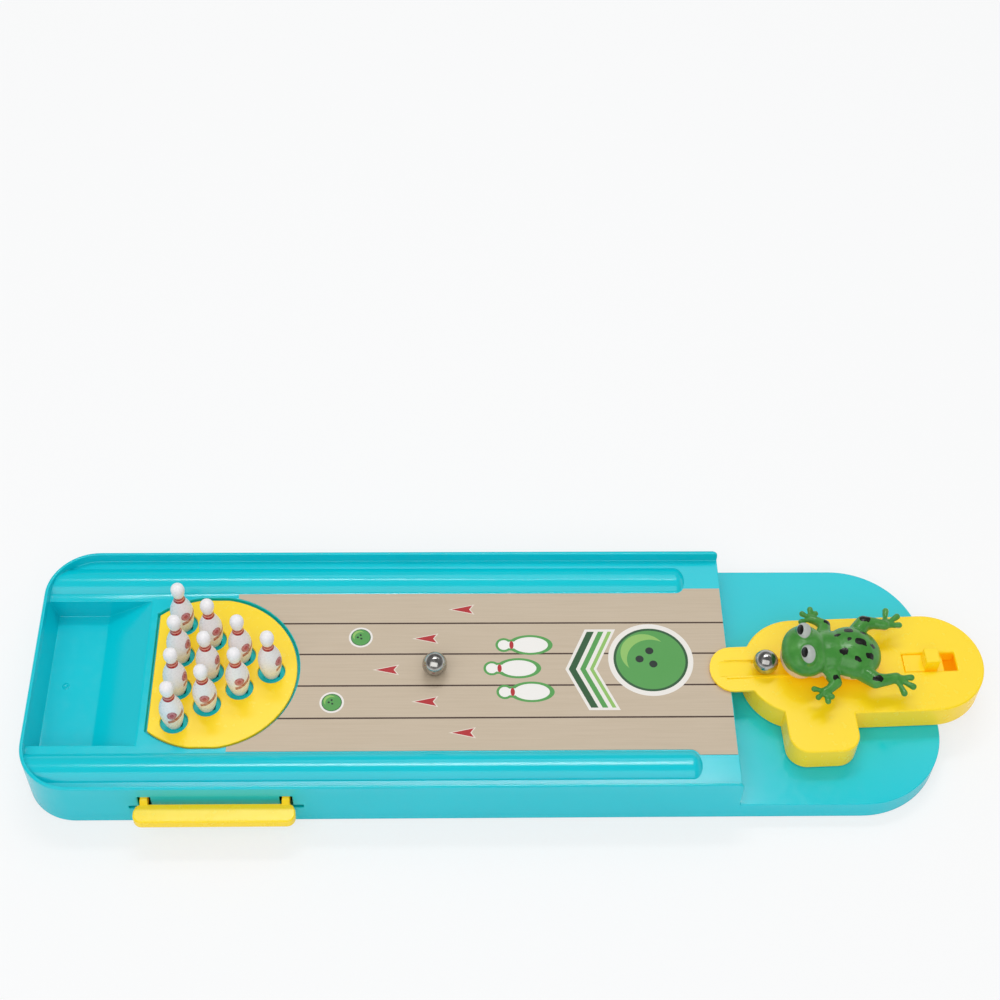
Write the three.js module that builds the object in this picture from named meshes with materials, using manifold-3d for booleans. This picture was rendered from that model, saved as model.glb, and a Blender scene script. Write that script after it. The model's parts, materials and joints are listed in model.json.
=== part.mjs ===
// A tabletop bowling game: a moulded tray with a lane, ten captive pins and a ball pit, a lever that
// stands the pins up again, and a swinging launcher whose sprung toy frog strikes a small steel ball.
// Millimetres, +Z up. X runs from the ball pit to the launcher, Y from the reset lever to the back.
import * as THREE from 'three';
import { mergeVertices } from 'three/addons/utils/BufferGeometryUtils.js';
import Module from 'manifold-3d';

const wasm = await Module();
wasm.setup();
const { Manifold, Mesh: SolidMesh } = wasm;

// Fits and counts
const clearance = 0.3;
const overrun = 2;
const quarterSteps = 6;
const wideQuarterSteps = 12;
const roundSides = 20;
const discSides = 64;
const railSides = 36;
const ballSides = 20;
const pinSides = 14;
const smallSides = 12;
const limbSides = 8;
const limbEndSteps = 2;

// Tray
const trayLength = 249.2;
const laneWidth = 67.4;
const rimRise = 4;
const rimWall = 1.3;
const rimEndRadius = 1.8;
const deckHeight = 18;
const deckThickness = 1.6;
const trayWall = 1.5;
const pitCornerRadius = 18.5;
const ribThickness = 1.2;
const ribDepth = 8;
const ribMargin = 28.4;
const ribCount = 3;

// Gutter rails
const railWallGap = 3.6;
const railWidth = 11.4;
const railHeight = 2.4;
const railEndInset = 13.2;
const railNose = 3.6;

// Ball pit
const pitRailInset = 3.3;
const pitDepth = 9.5;
const pitFloorStart = 3.5;
const pitFloorLength = 18.5;
const pitRampLength = 17.2;
const pitShell = 1.4;

// Lift plate and its well
const platePitGap = 3.3;
const plateStraightInset = 19.7;
const plateRailGap = 2.7;
const plateFlatInset = 0.4;
const plateThickness = 1.4;
const wellDepth = 2.1;
const wellFloor = 1.6;
const wellGap = 0.9;
const wellShell = 1.4;
const legSize = 3;
const legFrontOffset = 15.8;
const legRearOffset = 16.9;
const legHalfSpacing = 13.6;
const legFloorGap = 3;

// Pins
const pinHeight = 25.5;
const pinHoleRadius = 5;
const pinFirstRow = 22.2;
const pinRowPitch = 10.97;
const pinPitch = 13.7;
const pinRows = 4;
const pinProfileShares = [
  [0.106, 0], [0.145, 0.14], [0.167, 0.3], [0.162, 0.42], [0.125, 0.55], [0.086, 0.645],
  [0.071, 0.73], [0.088, 0.805], [0.098, 0.875], [0.089, 0.94], [0.058, 0.982],
];
const pinStemRadius = 0.75;
const pinFootRoom = 3.4;
const pinFootHeight = 1;
const pinFootOverlap = 0.65;
const pinFootWidth = 1.2;
const pinSlotSideGap = 0.4;
const pinSlotFrontGap = 2.05;

// Balls
const ballRadius = 4.5;
const laneBallInset = 106.3;
const laneBallY = -0.8;

// Lane sheet
const sheetPlateOffset = 8.4;
const sheetThickness = 0.25;
const sheetRailGap = 0.4;
const sheetFlare = 1.7;
const sheetEndGap = 0.4;
const sheetWellMargin = 0.3;

// Reset lever
const leverPlateOffset = 5.65;
const barLength = 55.3;
const barDepth = 6.8;
const barHeight = 3.9;
const barDrop = 2.1;
const barWallGap = 1.6;
const barCornerRadius = 3;
const armOffset = 24.2;
const armWidth = 2.6;
const armRise = 3.6;
const armThickness = 3.6;
const shaftRadius = 2;
const shaftInset = 10;
const shaftDrop = 5.6;
const shaftLength = 60.4;
const fingerWidth = 2.6;
const fingerTipRadius = 1;
const slotMargin = 2.35;
const slotDrop = 2;
const slotHeight = 2.1;
const notchSideGap = 0.9;
const saddleOffset = 28.6;
const saddleWidth = 3;
const saddleLength = 9;
const saddleDrop = 3.4;

// Base cover
const coverPitSide = 32.85;
const coverLaneSide = 38.15;
const coverWallGap = 2;
const coverBack = 31;
const coverBottom = 1.9;
const coverThickness = 1.2;
const coverCornerRadius = 4;
const postWidth = 4;
const baseScrewPlaces = {
  frontRight: [33.15, -30],
  backRight: [33.15, 20],
  frontLeft: [-7.85, -28],
  backLeft: [-7.85, 26],
};
const bossRadius = 3;
const boreRadius = 1.5;
const boreDepth = 9;
const shankRadius = 1.2;
const shankLength = 9;
const headRadius = 2.6;
const headHeight = 1.1;
const driveWidth = 0.7;
const driveLength = 3;
const driveDepth = 0.6;

// Launcher plate and casing, in a frame whose origin is the swivel axis
const launchPlateLength = 74.9;
const launchPlateHeight = 8.5;
const launchPlateThickness = 1.8;
const launchPlateCornerRadius = 31;
const swivelInset = 25.3;
const restAimDegrees = 2.2;
const aimDegrees = 10;
const casingRadius = 20.3;
const casingRearCentre = 47;
const casingTopThickness = 1.8;
const casingWall = 1.6;
const lobeLeft = -8.3;
const lobeRight = 16.8;
const lobeFront = 35.5;
const lobeRadius = 7.2;
const tongueCentre = -24.5;
const tongueLength = 8.2;
const tongueHalfWidth = 9.3;
const tongueThickness = 0.9;
const tongueGap = 0.35;
const grooveHalfWidth = 3.4;
const grooveDepth = 1;
const grooveRampDepth = 0.5;
const grooveStart = -29.5;
const grooveEnd = -3;
const guideRibWidth = 0.7;
const guideRibHeight = 0.5;
const guideRibStart = -27;
const pivotBossRadius = 4;
const pivotNeckRadius = 2.5;
const pivotNeckReach = 0.5;
const pivotBoreDepth = 9;
const washerRadius = 5.5;
const washerThickness = 1;
const stopPegX = 30;
const stopPegRadius = 1.5;
const stopPegInset = 0.2;

// Slide, spring and frog
const slideThickness = 2.7;
const slideHalfWidth = 4.6;
const slideStart = 5;
const slideEnd = 53;
const slideTravel = 6.5;
const slideRibThickness = 1.2;
const slideRibDepth = 5;
const postX = 11;
const postRadius = 3;
const postRise = 0.5;
const frontSlotMargin = 0.6;
const rearSlotStart = 37.9;
const rearSlotEnd = 57.2;
const rearSlotHalfWidth = 3.9;
const padDrop = 0.5;
const tabStart = 45;
const tabLength = 5.1;
const tabHalfWidth = 3;
const tabRise = 4.5;
const lugX = 19;
const lugThickness = 2;
const lugHalfWidth = 2.5;
const casingCoverThickness = 1.3;
const springStopX = 38;
const springStopThickness = 2;
const springStopHalfWidth = 4;
const springWire = 0.7;
const springRadius = 1.5;
const springCurls = 8;
const springSteps = 8;
const springSides = 5;
const padRadius = 4;
const padThickness = 1.2;
const coverScrewPlaces = {
  frontNear: [-9.5, -9.8],
  frontFar: [-9.5, 9.8],
  rearNear: [53, -11],
  rearFar: [53, 11],
};
const coverScrewHead = 2.2;
const coverScrewRecess = 1.5;
const coverScrewLength = 6;

// The frog: every place and size is a share of its length, measured back from the snout and up from
// its seat on the post. Limbs are given for one side and mirrored.
const frogLength = 46.9;
const frogSnoutGap = 0.3;
const frogPostShare = 0.407;
const frogBodyShares = {
  head: { at: [0.181, 0, 0.203], radii: [0.181, 0.222, 0.137] },
  jaw: { at: [0.145, 0, 0.1], radii: [0.145, 0.185, 0.078] },
  neck: { at: [0.362, 0, 0.162], radii: [0.19, 0.19, 0.12] },
  torso: { at: [0.548, 0, 0.145], radii: [0.228, 0.232, 0.145] },
};
const frogEyeShare = { at: [0.18, 0.113, 0.299], radii: [0.063, 0.06, 0.066] };
const frogLimbShares = [
  [[0.4, 0.19, 0.16, 0.056], [0.405, 0.262, 0.142, 0.046]],
  [[0.405, 0.262, 0.142, 0.046], [0.312, 0.315, 0.142, 0.034]],
  [[0.312, 0.315, 0.142, 0.019], [0.235, 0.292, 0.142, 0.027]],
  [[0.312, 0.315, 0.142, 0.019], [0.241, 0.372, 0.142, 0.027]],
  [[0.312, 0.315, 0.142, 0.019], [0.318, 0.42, 0.142, 0.027]],
  [[0.312, 0.315, 0.142, 0.019], [0.35, 0.374, 0.142, 0.025]],
  [[0.57, 0.19, 0.13, 0.075], [0.69, 0.262, 0.16, 0.064]],
  [[0.69, 0.262, 0.16, 0.064], [0.86, 0.226, 0.155, 0.038]],
  [[0.86, 0.226, 0.155, 0.021], [0.978, 0.244, 0.147, 0.029]],
  [[0.86, 0.226, 0.155, 0.021], [0.974, 0.315, 0.147, 0.029]],
  [[0.86, 0.226, 0.155, 0.021], [0.904, 0.378, 0.147, 0.029]],
];
const frogBoreDepth = 5;
const frogSeatHeight = 4;

// Finishes
const cyanPlastic = finish('#35c3d2', 0.35);
const yellowPlastic = finish('#fbdc3a', 0.35);
const lanePaper = finish('#c9b89e', 0.6);
const pinPlastic = finish('#f4f1f4', 0.3);
const frogPaint = finish('#3c8a30', 0.25);
const polishedSteel = finish('#c8cacd', 0.12, 1);
const platedSteel = finish('#a9adb3', 0.35, 1);

function finish(colour, roughness, metalness = 0) {
  return new THREE.MeshStandardMaterial({ color: colour, roughness, metalness });
}

// A closed three.js geometry becomes a solid that can be joined and cut.
function solid(geometry) {
  const bare = geometry.clone();
  bare.deleteAttribute('normal');
  bare.deleteAttribute('uv');
  const merged = mergeVertices(bare);
  const vertProperties = new Float32Array(merged.attributes.position.array);
  const triVerts = new Uint32Array(merged.index.array);
  return new Manifold(new SolidMesh({ numProp: 3, vertProperties, triVerts }));
}

function geometryOf(shape) {
  const { vertProperties, triVerts } = shape.getMesh();
  const geometry = new THREE.BufferGeometry();
  geometry.setAttribute('position', new THREE.BufferAttribute(new Float32Array(vertProperties), 3));
  geometry.setIndex(new THREE.BufferAttribute(new Uint32Array(triVerts), 1));
  geometry.computeVertexNormals();
  return geometry;
}

function piece(name, shape, material) {
  const mesh = new THREE.Mesh(geometryOf(shape), material);
  mesh.name = name;
  return mesh;
}

function joined(shapes) {
  return shapes.reduce((sum, shape) => sum.add(shape));
}

function cutBy(shape, cutters) {
  return cutters.reduce((rest, cutter) => rest.subtract(cutter), shape);
}

// Basic solids
function block(x0, x1, y0, y1, z0, z1) {
  const geometry = new THREE.BoxGeometry(x1 - x0, y1 - y0, z1 - z0);
  geometry.translate((x0 + x1) / 2, (y0 + y1) / 2, (z0 + z1) / 2);
  return solid(geometry);
}

function upright(x, y, radius, z0, z1, sides = roundSides) {
  const geometry = new THREE.CylinderGeometry(radius, radius, z1 - z0, sides);
  geometry.rotateX(Math.PI / 2);
  geometry.translate(x, y, (z0 + z1) / 2);
  return solid(geometry);
}

function rodAlongX(x0, x1, y, z, radius, sides = roundSides) {
  const geometry = new THREE.CylinderGeometry(radius, radius, x1 - x0, sides);
  geometry.rotateZ(-Math.PI / 2);
  geometry.translate((x0 + x1) / 2, y, z);
  return solid(geometry);
}

function ellipsoid(centre, radii, across = roundSides, down = roundSides / 2) {
  const geometry = new THREE.SphereGeometry(1, across, down);
  geometry.rotateX(Math.PI / 2);
  geometry.scale(...radii);
  geometry.translate(...centre);
  return solid(geometry);
}

function extruded(outline, z0, z1, steps = quarterSteps) {
  const settings = { depth: z1 - z0, bevelEnabled: false, curveSegments: steps };
  const geometry = new THREE.ExtrudeGeometry(outline, settings);
  geometry.translate(0, 0, z0);
  return solid(geometry);
}

// An outline drawn in X and Z, drawn out along Y.
function extrudedAlongY(outline, y0, y1) {
  const settings = { depth: y1 - y0, bevelEnabled: false, curveSegments: quarterSteps };
  const geometry = new THREE.ExtrudeGeometry(outline, settings);
  geometry.rotateX(Math.PI / 2);
  geometry.translate(0, y1, 0);
  return solid(geometry);
}

// An outline drawn in Y and Z, drawn out along X.
function extrudedAlongX(outline, x0, x1) {
  const settings = { depth: x1 - x0, bevelEnabled: false, curveSegments: quarterSteps };
  const geometry = new THREE.ExtrudeGeometry(outline, settings);
  geometry.rotateX(Math.PI / 2);
  geometry.rotateZ(Math.PI / 2);
  geometry.translate(x0, 0, 0);
  return solid(geometry);
}

function polygon(points) {
  return new THREE.Shape(points.map(([x, y]) => new THREE.Vector2(x, y)));
}

// A rectangle whose left and right corners each have their own radius; a radius of 0 is a sharp corner.
function roundedBox(x0, x1, y0, y1, leftRadius, rightRadius = leftRadius) {
  const shape = new THREE.Shape();
  const quarter = Math.PI / 2;
  shape.moveTo(x0 + leftRadius, y0);
  shape.lineTo(x1 - rightRadius, y0);
  if (rightRadius > 0) shape.absarc(x1 - rightRadius, y0 + rightRadius, rightRadius, -quarter, 0);
  shape.lineTo(x1, y1 - rightRadius);
  if (rightRadius > 0) shape.absarc(x1 - rightRadius, y1 - rightRadius, rightRadius, 0, quarter);
  shape.lineTo(x0 + leftRadius, y1);
  if (leftRadius > 0) shape.absarc(x0 + leftRadius, y1 - leftRadius, leftRadius, quarter, 2 * quarter);
  shape.lineTo(x0, y0 + leftRadius);
  if (leftRadius > 0) shape.absarc(x0 + leftRadius, y0 + leftRadius, leftRadius, 2 * quarter, 3 * quarter);
  return shape;
}

// Places that several pieces share: first along the tray and across it, then up from the table
const trayWidth = laneWidth + 2 * (railWidth + railWallGap + rimWall);
const pitFloorEnd = pitFloorStart + pitFloorLength;
const pitRampEnd = pitFloorEnd + pitRampLength;
const pitHalfWidth = laneWidth / 2 - pitRailInset;
const plateLeft = pitRampEnd + platePitGap;
const plateCentreX = plateLeft + plateStraightInset;
const plateHalfFlat = laneWidth / 2 - plateRailGap;
const plateRadius = plateHalfFlat + plateFlatInset;
const legFrontX = plateCentreX + legFrontOffset;
const legRearX = plateCentreX - legRearOffset;
const pinFirstRowX = plateCentreX + pinFirstRow;
const leverCentreX = plateCentreX + leverPlateOffset;
const shaftY = shaftInset - trayWidth / 2;
const ribStart = plateCentreX + plateRadius + ribMargin;
const ribPitch = (trayLength - ribStart) / ribCount;
const railOffset = (laneWidth + railWidth) / 2;
const railEnd = trayLength - railEndInset;
const laneBallX = trayLength - laneBallInset;
const launchPlateEnd = trayLength + launchPlateLength;
const swivelX = trayLength + swivelInset;
const rimHeight = deckHeight + rimRise;
const deckUnderside = deckHeight - deckThickness;
const sheetTop = deckHeight + sheetThickness;
const wellFloorTop = deckHeight - wellDepth;
const wellUnderside = wellFloorTop - wellFloor;
const plateBottom = wellFloorTop + clearance;
const plateTop = plateBottom + plateThickness;
const coverTop = coverBottom + coverThickness;
const legBottom = coverTop + legFloorGap;
const shaftHeight = deckHeight - shaftDrop;
const barBottom = shaftHeight - barDrop;
const slotBottom = barBottom - slotDrop;
const armTop = shaftHeight + armRise;
const saddleBottom = shaftHeight - saddleDrop;
const pinSlotHalfWidth = pinStemRadius + pinSlotSideGap;
const pinFootDrop = clearance + wellFloor + pinFootRoom;
const plateUnderside = launchPlateHeight - launchPlateThickness;
const casingBottom = launchPlateHeight + clearance;
const casingTop = sheetTop + tongueGap + tongueThickness;
const postTop = casingTop + postRise;
const casingCeiling = casingTop - casingTopThickness;
const casingCoverTop = casingBottom + casingCoverThickness;
const slideTop = casingCeiling - clearance;
const slideBottom = slideTop - slideThickness;
const snoutX = postX - frogPostShare * frogLength;
const launcherBallX = snoutX - frogSnoutGap - ballRadius;
const grooveFloor = casingTop - grooveDepth;

// The ten pins stand in a triangle, its point towards the launcher.
function pinPlaces() {
  const places = [];
  for (let row = 0; row < pinRows; row += 1) {
    for (let place = 0; place <= row; place += 1) {
      places.push([pinFirstRowX - row * pinRowPitch, (place - row / 2) * pinPitch]);
    }
  }
  return places;
}

function legPlaces() {
  return [legFrontX, legRearX].flatMap((x) => [[x, -legHalfSpacing], [x, legHalfSpacing]]);
}

// The lift plate's outline: a disc with two flats and a straight edge towards the ball pit.
function plateDisc(grow, z0, z1) {
  const disc = upright(plateCentreX, 0, plateRadius + grow, z0, z1, discSides);
  const half = plateHalfFlat + grow;
  const right = plateCentreX + plateRadius + grow + overrun;
  return disc.intersect(block(plateLeft - grow, right, -half, half, z0 - overrun, z1 + overrun));
}

// Tray
function trayPlan(inset) {
  const half = trayWidth / 2 - inset;
  return roundedBox(
    inset, launchPlateEnd - inset, -half, half, pitCornerRadius - inset, launchPlateCornerRadius - inset,
  );
}

function trayBody() {
  const side = new THREE.Shape();
  side.moveTo(-overrun, 0);
  side.lineTo(launchPlateEnd + overrun, 0);
  side.lineTo(launchPlateEnd + overrun, launchPlateHeight);
  side.lineTo(trayLength, launchPlateHeight);
  side.lineTo(trayLength, rimHeight - rimEndRadius);
  side.absarc(trayLength - rimEndRadius, rimHeight - rimEndRadius, rimEndRadius, 0, Math.PI / 2);
  side.lineTo(-overrun, rimHeight);
  const body = extruded(trayPlan(0), 0, rimHeight, wideQuarterSteps);
  return body.intersect(extrudedAlongY(side, -trayWidth, trayWidth));
}

function pitOutline(shell) {
  const floor = deckHeight - pitDepth - shell;
  return polygon([
    [pitFloorStart - shell, floor],
    [pitFloorEnd + shell / 2, floor],
    [pitRampEnd + shell, deckHeight - shell],
    [pitRampEnd + shell, rimHeight + overrun],
    [rimWall - shell, rimHeight + overrun],
    [rimWall - shell, deckHeight],
  ]);
}

function pitSolid(shell) {
  return extrudedAlongY(pitOutline(shell), -pitHalfWidth - shell, pitHalfWidth + shell);
}

function trayHollow() {
  const low = extruded(trayPlan(trayWall), -overrun, plateUnderside);
  const high = extruded(trayPlan(trayWall), plateUnderside - overrun, deckUnderside);
  const underTray = block(
    0, trayLength - trayWall, -trayWidth, trayWidth, -overrun, deckUnderside + overrun,
  );
  const ribs = [];
  for (let n = 0; n < ribCount; n += 1) {
    const x = ribStart + n * ribPitch;
    ribs.push(block(x, x + ribThickness, -trayWidth, trayWidth, deckUnderside - ribDepth, deckHeight));
  }
  const hollow = low.add(high.intersect(underTray));
  const kept = [
    pitSolid(pitShell).intersect(block(-overrun, trayLength, -trayWidth, trayWidth, 0, deckHeight)),
    plateDisc(wellGap + wellShell, wellUnderside, deckHeight),
    ...ribs,
    ...baseBosses(),
    ...saddleBlocks(),
  ];
  return cutBy(hollow, kept);
}

function baseScrewPoints() {
  return Object.values(baseScrewPlaces).map(([x, y]) => [leverCentreX + x, y]);
}

function baseBosses() {
  const bottom = coverTop + clearance;
  return baseScrewPoints().map(([x, y]) => (
    upright(x, y, bossRadius, bottom, deckHeight, smallSides)
  ));
}

function saddleBlocks() {
  return [-saddleOffset, saddleOffset].map((offset) => {
    const x = leverCentreX + offset;
    const half = saddleLength / 2;
    return block(
      x - saddleWidth / 2, x + saddleWidth / 2, shaftY - half, shaftY + half, saddleBottom, deckHeight,
    );
  });
}

// Each saddle has a slot, open below, that the lever's shaft drops into.
function saddleSlots() {
  const half = saddleOffset + saddleWidth;
  const radius = shaftRadius + clearance;
  const slot = block(
    leverCentreX - half, leverCentreX + half, shaftY - radius, shaftY + radius, 0, shaftHeight,
  );
  return slot.add(rodAlongX(leverCentreX - half, leverCentreX + half, shaftY, shaftHeight, radius));
}

function deckRecess() {
  const half = trayWidth / 2 - rimWall;
  const plan = roundedBox(
    rimWall, trayLength + trayWidth, -half, half, pitCornerRadius - rimWall, 0,
  );
  return extruded(plan, deckHeight, rimHeight + overrun, wideQuarterSteps);
}

// A half-round rail, sunk a little way into the deck. It runs out of the wall at the ball pit's end, and
// has a blunt rounded nose at the launcher's end.
function rail(side) {
  const rise = railHeight;
  const radius = (railWidth * railWidth / 4 + rise * rise) / (2 * rise);
  const centre = deckHeight + rise - radius;
  const y = side * railOffset;
  const stretch = (radius * railNose * 2) / railWidth;
  const shape = joined([
    rodAlongX(0, railEnd - railNose, y, centre, radius, railSides),
    ellipsoid([railEnd - railNose, y, centre], [stretch, radius, radius], railSides, railSides / 2),
  ]);
  const sunk = deckHeight - deckThickness / 2;
  return shape.intersect(extruded(trayPlan(rimWall / 2), sunk, rimHeight, wideQuarterSteps));
}

// A rail's outline on the deck, grown by a gap, for the sheet that is cut to go round it.
function railPlan(side, gap) {
  const half = railWidth / 2 + gap;
  const y = side * railOffset;
  const shape = new THREE.Shape();
  shape.moveTo(0, y - half);
  shape.lineTo(railEnd - railNose, y - half);
  shape.absellipse(railEnd - railNose, y, railNose + gap, half, -Math.PI / 2, Math.PI / 2);
  shape.lineTo(0, y + half);
  return extruded(shape, deckHeight - overrun, rimHeight, wideQuarterSteps);
}

function pinSlots() {
  return pinPlaces().map(([x, y]) => block(
    x - pinSlotHalfWidth, x + pinStemRadius + pinSlotFrontGap, y - pinSlotHalfWidth, y + pinSlotHalfWidth,
    wellUnderside - overrun, wellFloorTop + overrun,
  ));
}

function legHoles() {
  const half = legSize / 2 + clearance;
  return legPlaces().map(([x, y]) => block(
    x - half, x + half, y - half, y + half, wellUnderside - overrun, wellFloorTop + overrun,
  ));
}

function wallOpenings() {
  const front = -trayWidth / 2 - overrun;
  const back = -trayWidth / 2 + trayWall + overrun;
  const halfSlot = barLength / 2 + slotMargin;
  const halfNotch = armWidth / 2 + notchSideGap;
  const slot = block(
    leverCentreX - halfSlot, leverCentreX + halfSlot, front, back, slotBottom, slotBottom + slotHeight,
  );
  const notches = [-armOffset, armOffset].map((offset) => block(
    leverCentreX + offset - halfNotch, leverCentreX + offset + halfNotch, front, back,
    slotBottom, armTop + clearance,
  ));
  return [slot, ...notches];
}

// A curved slot in the launcher's plate limits its swing to the aiming angle each way.
function aimSlot() {
  const half = THREE.MathUtils.degToRad(aimDegrees) + (stopPegRadius + clearance) / stopPegX;
  const inner = stopPegX - stopPegRadius - clearance;
  const outer = stopPegX + stopPegRadius + clearance;
  const shape = new THREE.Shape();
  shape.absarc(swivelX, 0, outer, -half, half);
  shape.absarc(swivelX, 0, inner, half, -half, true);
  return extruded(shape, plateUnderside - overrun, launchPlateHeight + overrun);
}

function makeTray() {
  const bores = baseScrewPoints().map(([x, y]) => (
    upright(x, y, boreRadius, coverTop, coverTop + clearance + boreDepth, smallSides)
  ));
  const pivotHole = upright(
    swivelX, 0, pivotNeckRadius + clearance, plateUnderside - overrun, launchPlateHeight + overrun,
  );
  const shell = cutBy(trayBody(), [
    trayHollow(),
    deckRecess(),
    pitSolid(0),
    plateDisc(wellGap, wellFloorTop, rimHeight),
    saddleSlots(),
    pivotHole,
    aimSlot(),
    ...pinSlots(),
    ...legHoles(),
    ...wallOpenings(),
    ...bores,
  ]);
  return piece('tray_shell', joined([shell, rail(-1), rail(1)]), cyanPlastic);
}

function makeLaneSheet() {
  const start = plateCentreX + sheetPlateOffset;
  const end = trayLength - sheetEndGap;
  const half = laneWidth / 2 + sheetFlare;
  const shape = cutBy(block(start, end, -half, half, deckHeight, sheetTop), [
    plateDisc(wellGap + sheetWellMargin, wellFloorTop, rimHeight),
    railPlan(-1, sheetRailGap),
    railPlan(1, sheetRailGap),
  ]);
  return piece('lane_sheet', shape, lanePaper);
}

// Lift plate, with its guide legs
function makeLiftPlate() {
  const holes = pinPlaces().map(([x, y]) => (
    upright(x, y, pinHoleRadius, plateBottom - overrun, plateTop + overrun)
  ));
  const half = legSize / 2;
  const legs = legPlaces().map(([x, y]) => (
    block(x - half, x + half, y - half, y + half, legBottom, plateTop - plateThickness / 2)
  ));
  const plate = cutBy(plateDisc(0, plateBottom, plateTop), holes);
  return piece('lift_plate', joined([plate, ...legs]), yellowPlastic);
}

// Reset lever: the bar in front, two arms through the wall, the cross shaft and two lifting fingers
function leverArm(x) {
  const wallY = -trayWidth / 2;
  const barBack = wallY - barWallGap;
  const barTop = barBottom + barHeight;
  const outline = polygon([
    [barBack - barDepth / 2, barBottom + barHeight / 4],
    [barBack, barBottom + barHeight / 4],
    [wallY + trayWall, armTop - armThickness],
    [shaftY, shaftHeight - shaftRadius],
    [shaftY, shaftHeight + shaftRadius],
    [wallY + 2 * trayWall, armTop],
    [wallY - barWallGap / 4, armTop],
    [barBack - clearance, barTop],
    [barBack - barDepth / 2, barTop - clearance],
  ]);
  return extrudedAlongX(outline, x - armWidth / 2, x + armWidth / 2);
}

function leverFinger(x) {
  const tipY = -legHalfSpacing;
  const tipZ = legBottom - clearance - fingerTipRadius;
  const outline = polygon([
    [shaftY, shaftHeight - shaftRadius],
    [tipY, tipZ - fingerTipRadius],
    [tipY, tipZ + fingerTipRadius],
    [tipY - legSize, tipZ + fingerTipRadius],
    [shaftY, shaftHeight + shaftRadius / 2],
  ]);
  const half = fingerWidth / 2;
  return extrudedAlongX(outline, x - half, x + half).add(
    rodAlongX(x - half, x + half, tipY, tipZ, fingerTipRadius, smallSides),
  );
}

function makeResetLever() {
  const barBack = -trayWidth / 2 - barWallGap;
  const halfBar = barLength / 2;
  const bar = extruded(
    roundedBox(
      leverCentreX - halfBar, leverCentreX + halfBar, barBack - barDepth, barBack, barCornerRadius,
    ),
    barBottom,
    barBottom + barHeight,
  );
  const halfShaft = shaftLength / 2;
  const shape = joined([
    bar,
    rodAlongX(leverCentreX - halfShaft, leverCentreX + halfShaft, shaftY, shaftHeight, shaftRadius),
    leverArm(leverCentreX - armOffset),
    leverArm(leverCentreX + armOffset),
    leverFinger(legRearX),
    leverFinger(legFrontX),
  ]);
  return piece('reset_lever', shape, yellowPlastic);
}

// Base cover: it closes the lever's saddles from below
function makeBaseCover() {
  const plan = roundedBox(
    leverCentreX - coverPitSide, leverCentreX + coverLaneSide,
    coverWallGap + trayWall - trayWidth / 2, coverBack, coverCornerRadius,
  );
  const posts = [-saddleOffset, saddleOffset].map((offset) => {
    const x = leverCentreX + offset;
    const half = postWidth / 2;
    return block(
      x - saddleWidth / 2, x + saddleWidth / 2, shaftY - half, shaftY + half,
      coverBottom, shaftHeight - shaftRadius - clearance,
    );
  });
  const holes = baseScrewPoints().map(([x, y]) => (
    upright(x, y, boreRadius, coverBottom - overrun, coverTop + overrun, smallSides)
  ));
  const shape = cutBy(joined([extruded(plan, coverBottom, coverTop), ...posts]), holes);
  return piece('base_cover', shape, cyanPlastic);
}

// A cross-head screw that points up; its head's upper face is at height z.
function screw(x, y, z, head, height, shank, length) {
  const drive = (wide, deep) => block(
    x - wide / 2, x + wide / 2, y - deep / 2, y + deep / 2, z - height - overrun, z - height + driveDepth,
  );
  const shape = joined([
    upright(x, y, head, z - height, z, smallSides),
    upright(x, y, shank, z - height / 2, z + length, limbSides),
  ]);
  return cutBy(shape, [drive(driveWidth, driveLength), drive(driveLength, driveWidth)]);
}

function makeBaseScrews() {
  return baseScrewPoints().map(([x, y], n) => {
    const shape = screw(
      x, y, coverBottom - clearance, headRadius, headHeight, shankRadius, shankLength,
    );
    return piece(`base_screw_${n + 1}`, shape, platedSteel);
  });
}

// Pins: a turned body on a stem whose cross bar keeps it captive below the floor of the well
function makePins() {
  const outline = [
    new THREE.Vector2(0, 0),
    ...pinProfileShares.map(([r, z]) => new THREE.Vector2(r * pinHeight, z * pinHeight)),
    new THREE.Vector2(0, pinHeight),
  ];
  const turned = new THREE.LatheGeometry(outline, pinSides);
  turned.rotateX(Math.PI / 2);
  const body = solid(turned);
  const stem = upright(0, 0, pinStemRadius, -pinFootDrop + pinFootHeight / 2, pinStemRadius, smallSides);
  const halfFoot = pinSlotHalfWidth + pinFootOverlap;
  const foot = block(
    -pinFootWidth / 2, pinFootWidth / 2, -halfFoot, halfFoot, -pinFootDrop, pinFootHeight - pinFootDrop,
  );
  const pin = joined([body, stem, foot]);
  return pinPlaces().map(([x, y], n) => {
    const number = String(n + 1).padStart(2, '0');
    return piece(`pin_${number}`, pin.translate([x, y, plateBottom]), pinPlastic);
  });
}

function ball(name, x, y, seat) {
  const centre = [x, y, seat + clearance + ballRadius];
  const radii = [ballRadius, ballRadius, ballRadius];
  return piece(name, ellipsoid(centre, radii, ballSides, ballSides / 2), polishedSteel);
}

// Launcher casing. The outline is a slot shape with a finger lobe, drawn inwards by an inset.
function casingPlan(inset, z0, z1) {
  const radius = casingRadius - inset;
  const main = roundedBox(-radius, casingRearCentre + radius, -radius, radius, radius);
  const lobe = roundedBox(
    lobeLeft + inset, lobeRight - inset, -lobeFront + inset, 0, lobeRadius - inset, lobeRadius - inset,
  );
  return extruded(main, z0, z1, wideQuarterSteps).add(extruded(lobe, z0, z1));
}

function tongue() {
  const shape = new THREE.Shape();
  shape.moveTo(-casingRadius / 2, -tongueHalfWidth);
  shape.lineTo(-casingRadius / 2, tongueHalfWidth);
  shape.lineTo(tongueCentre, tongueHalfWidth);
  shape.absellipse(
    tongueCentre, 0, tongueLength, tongueHalfWidth, Math.PI / 2, (3 * Math.PI) / 2, false, 0,
  );
  return extruded(shape, casingTop - tongueThickness, casingTop);
}

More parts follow.
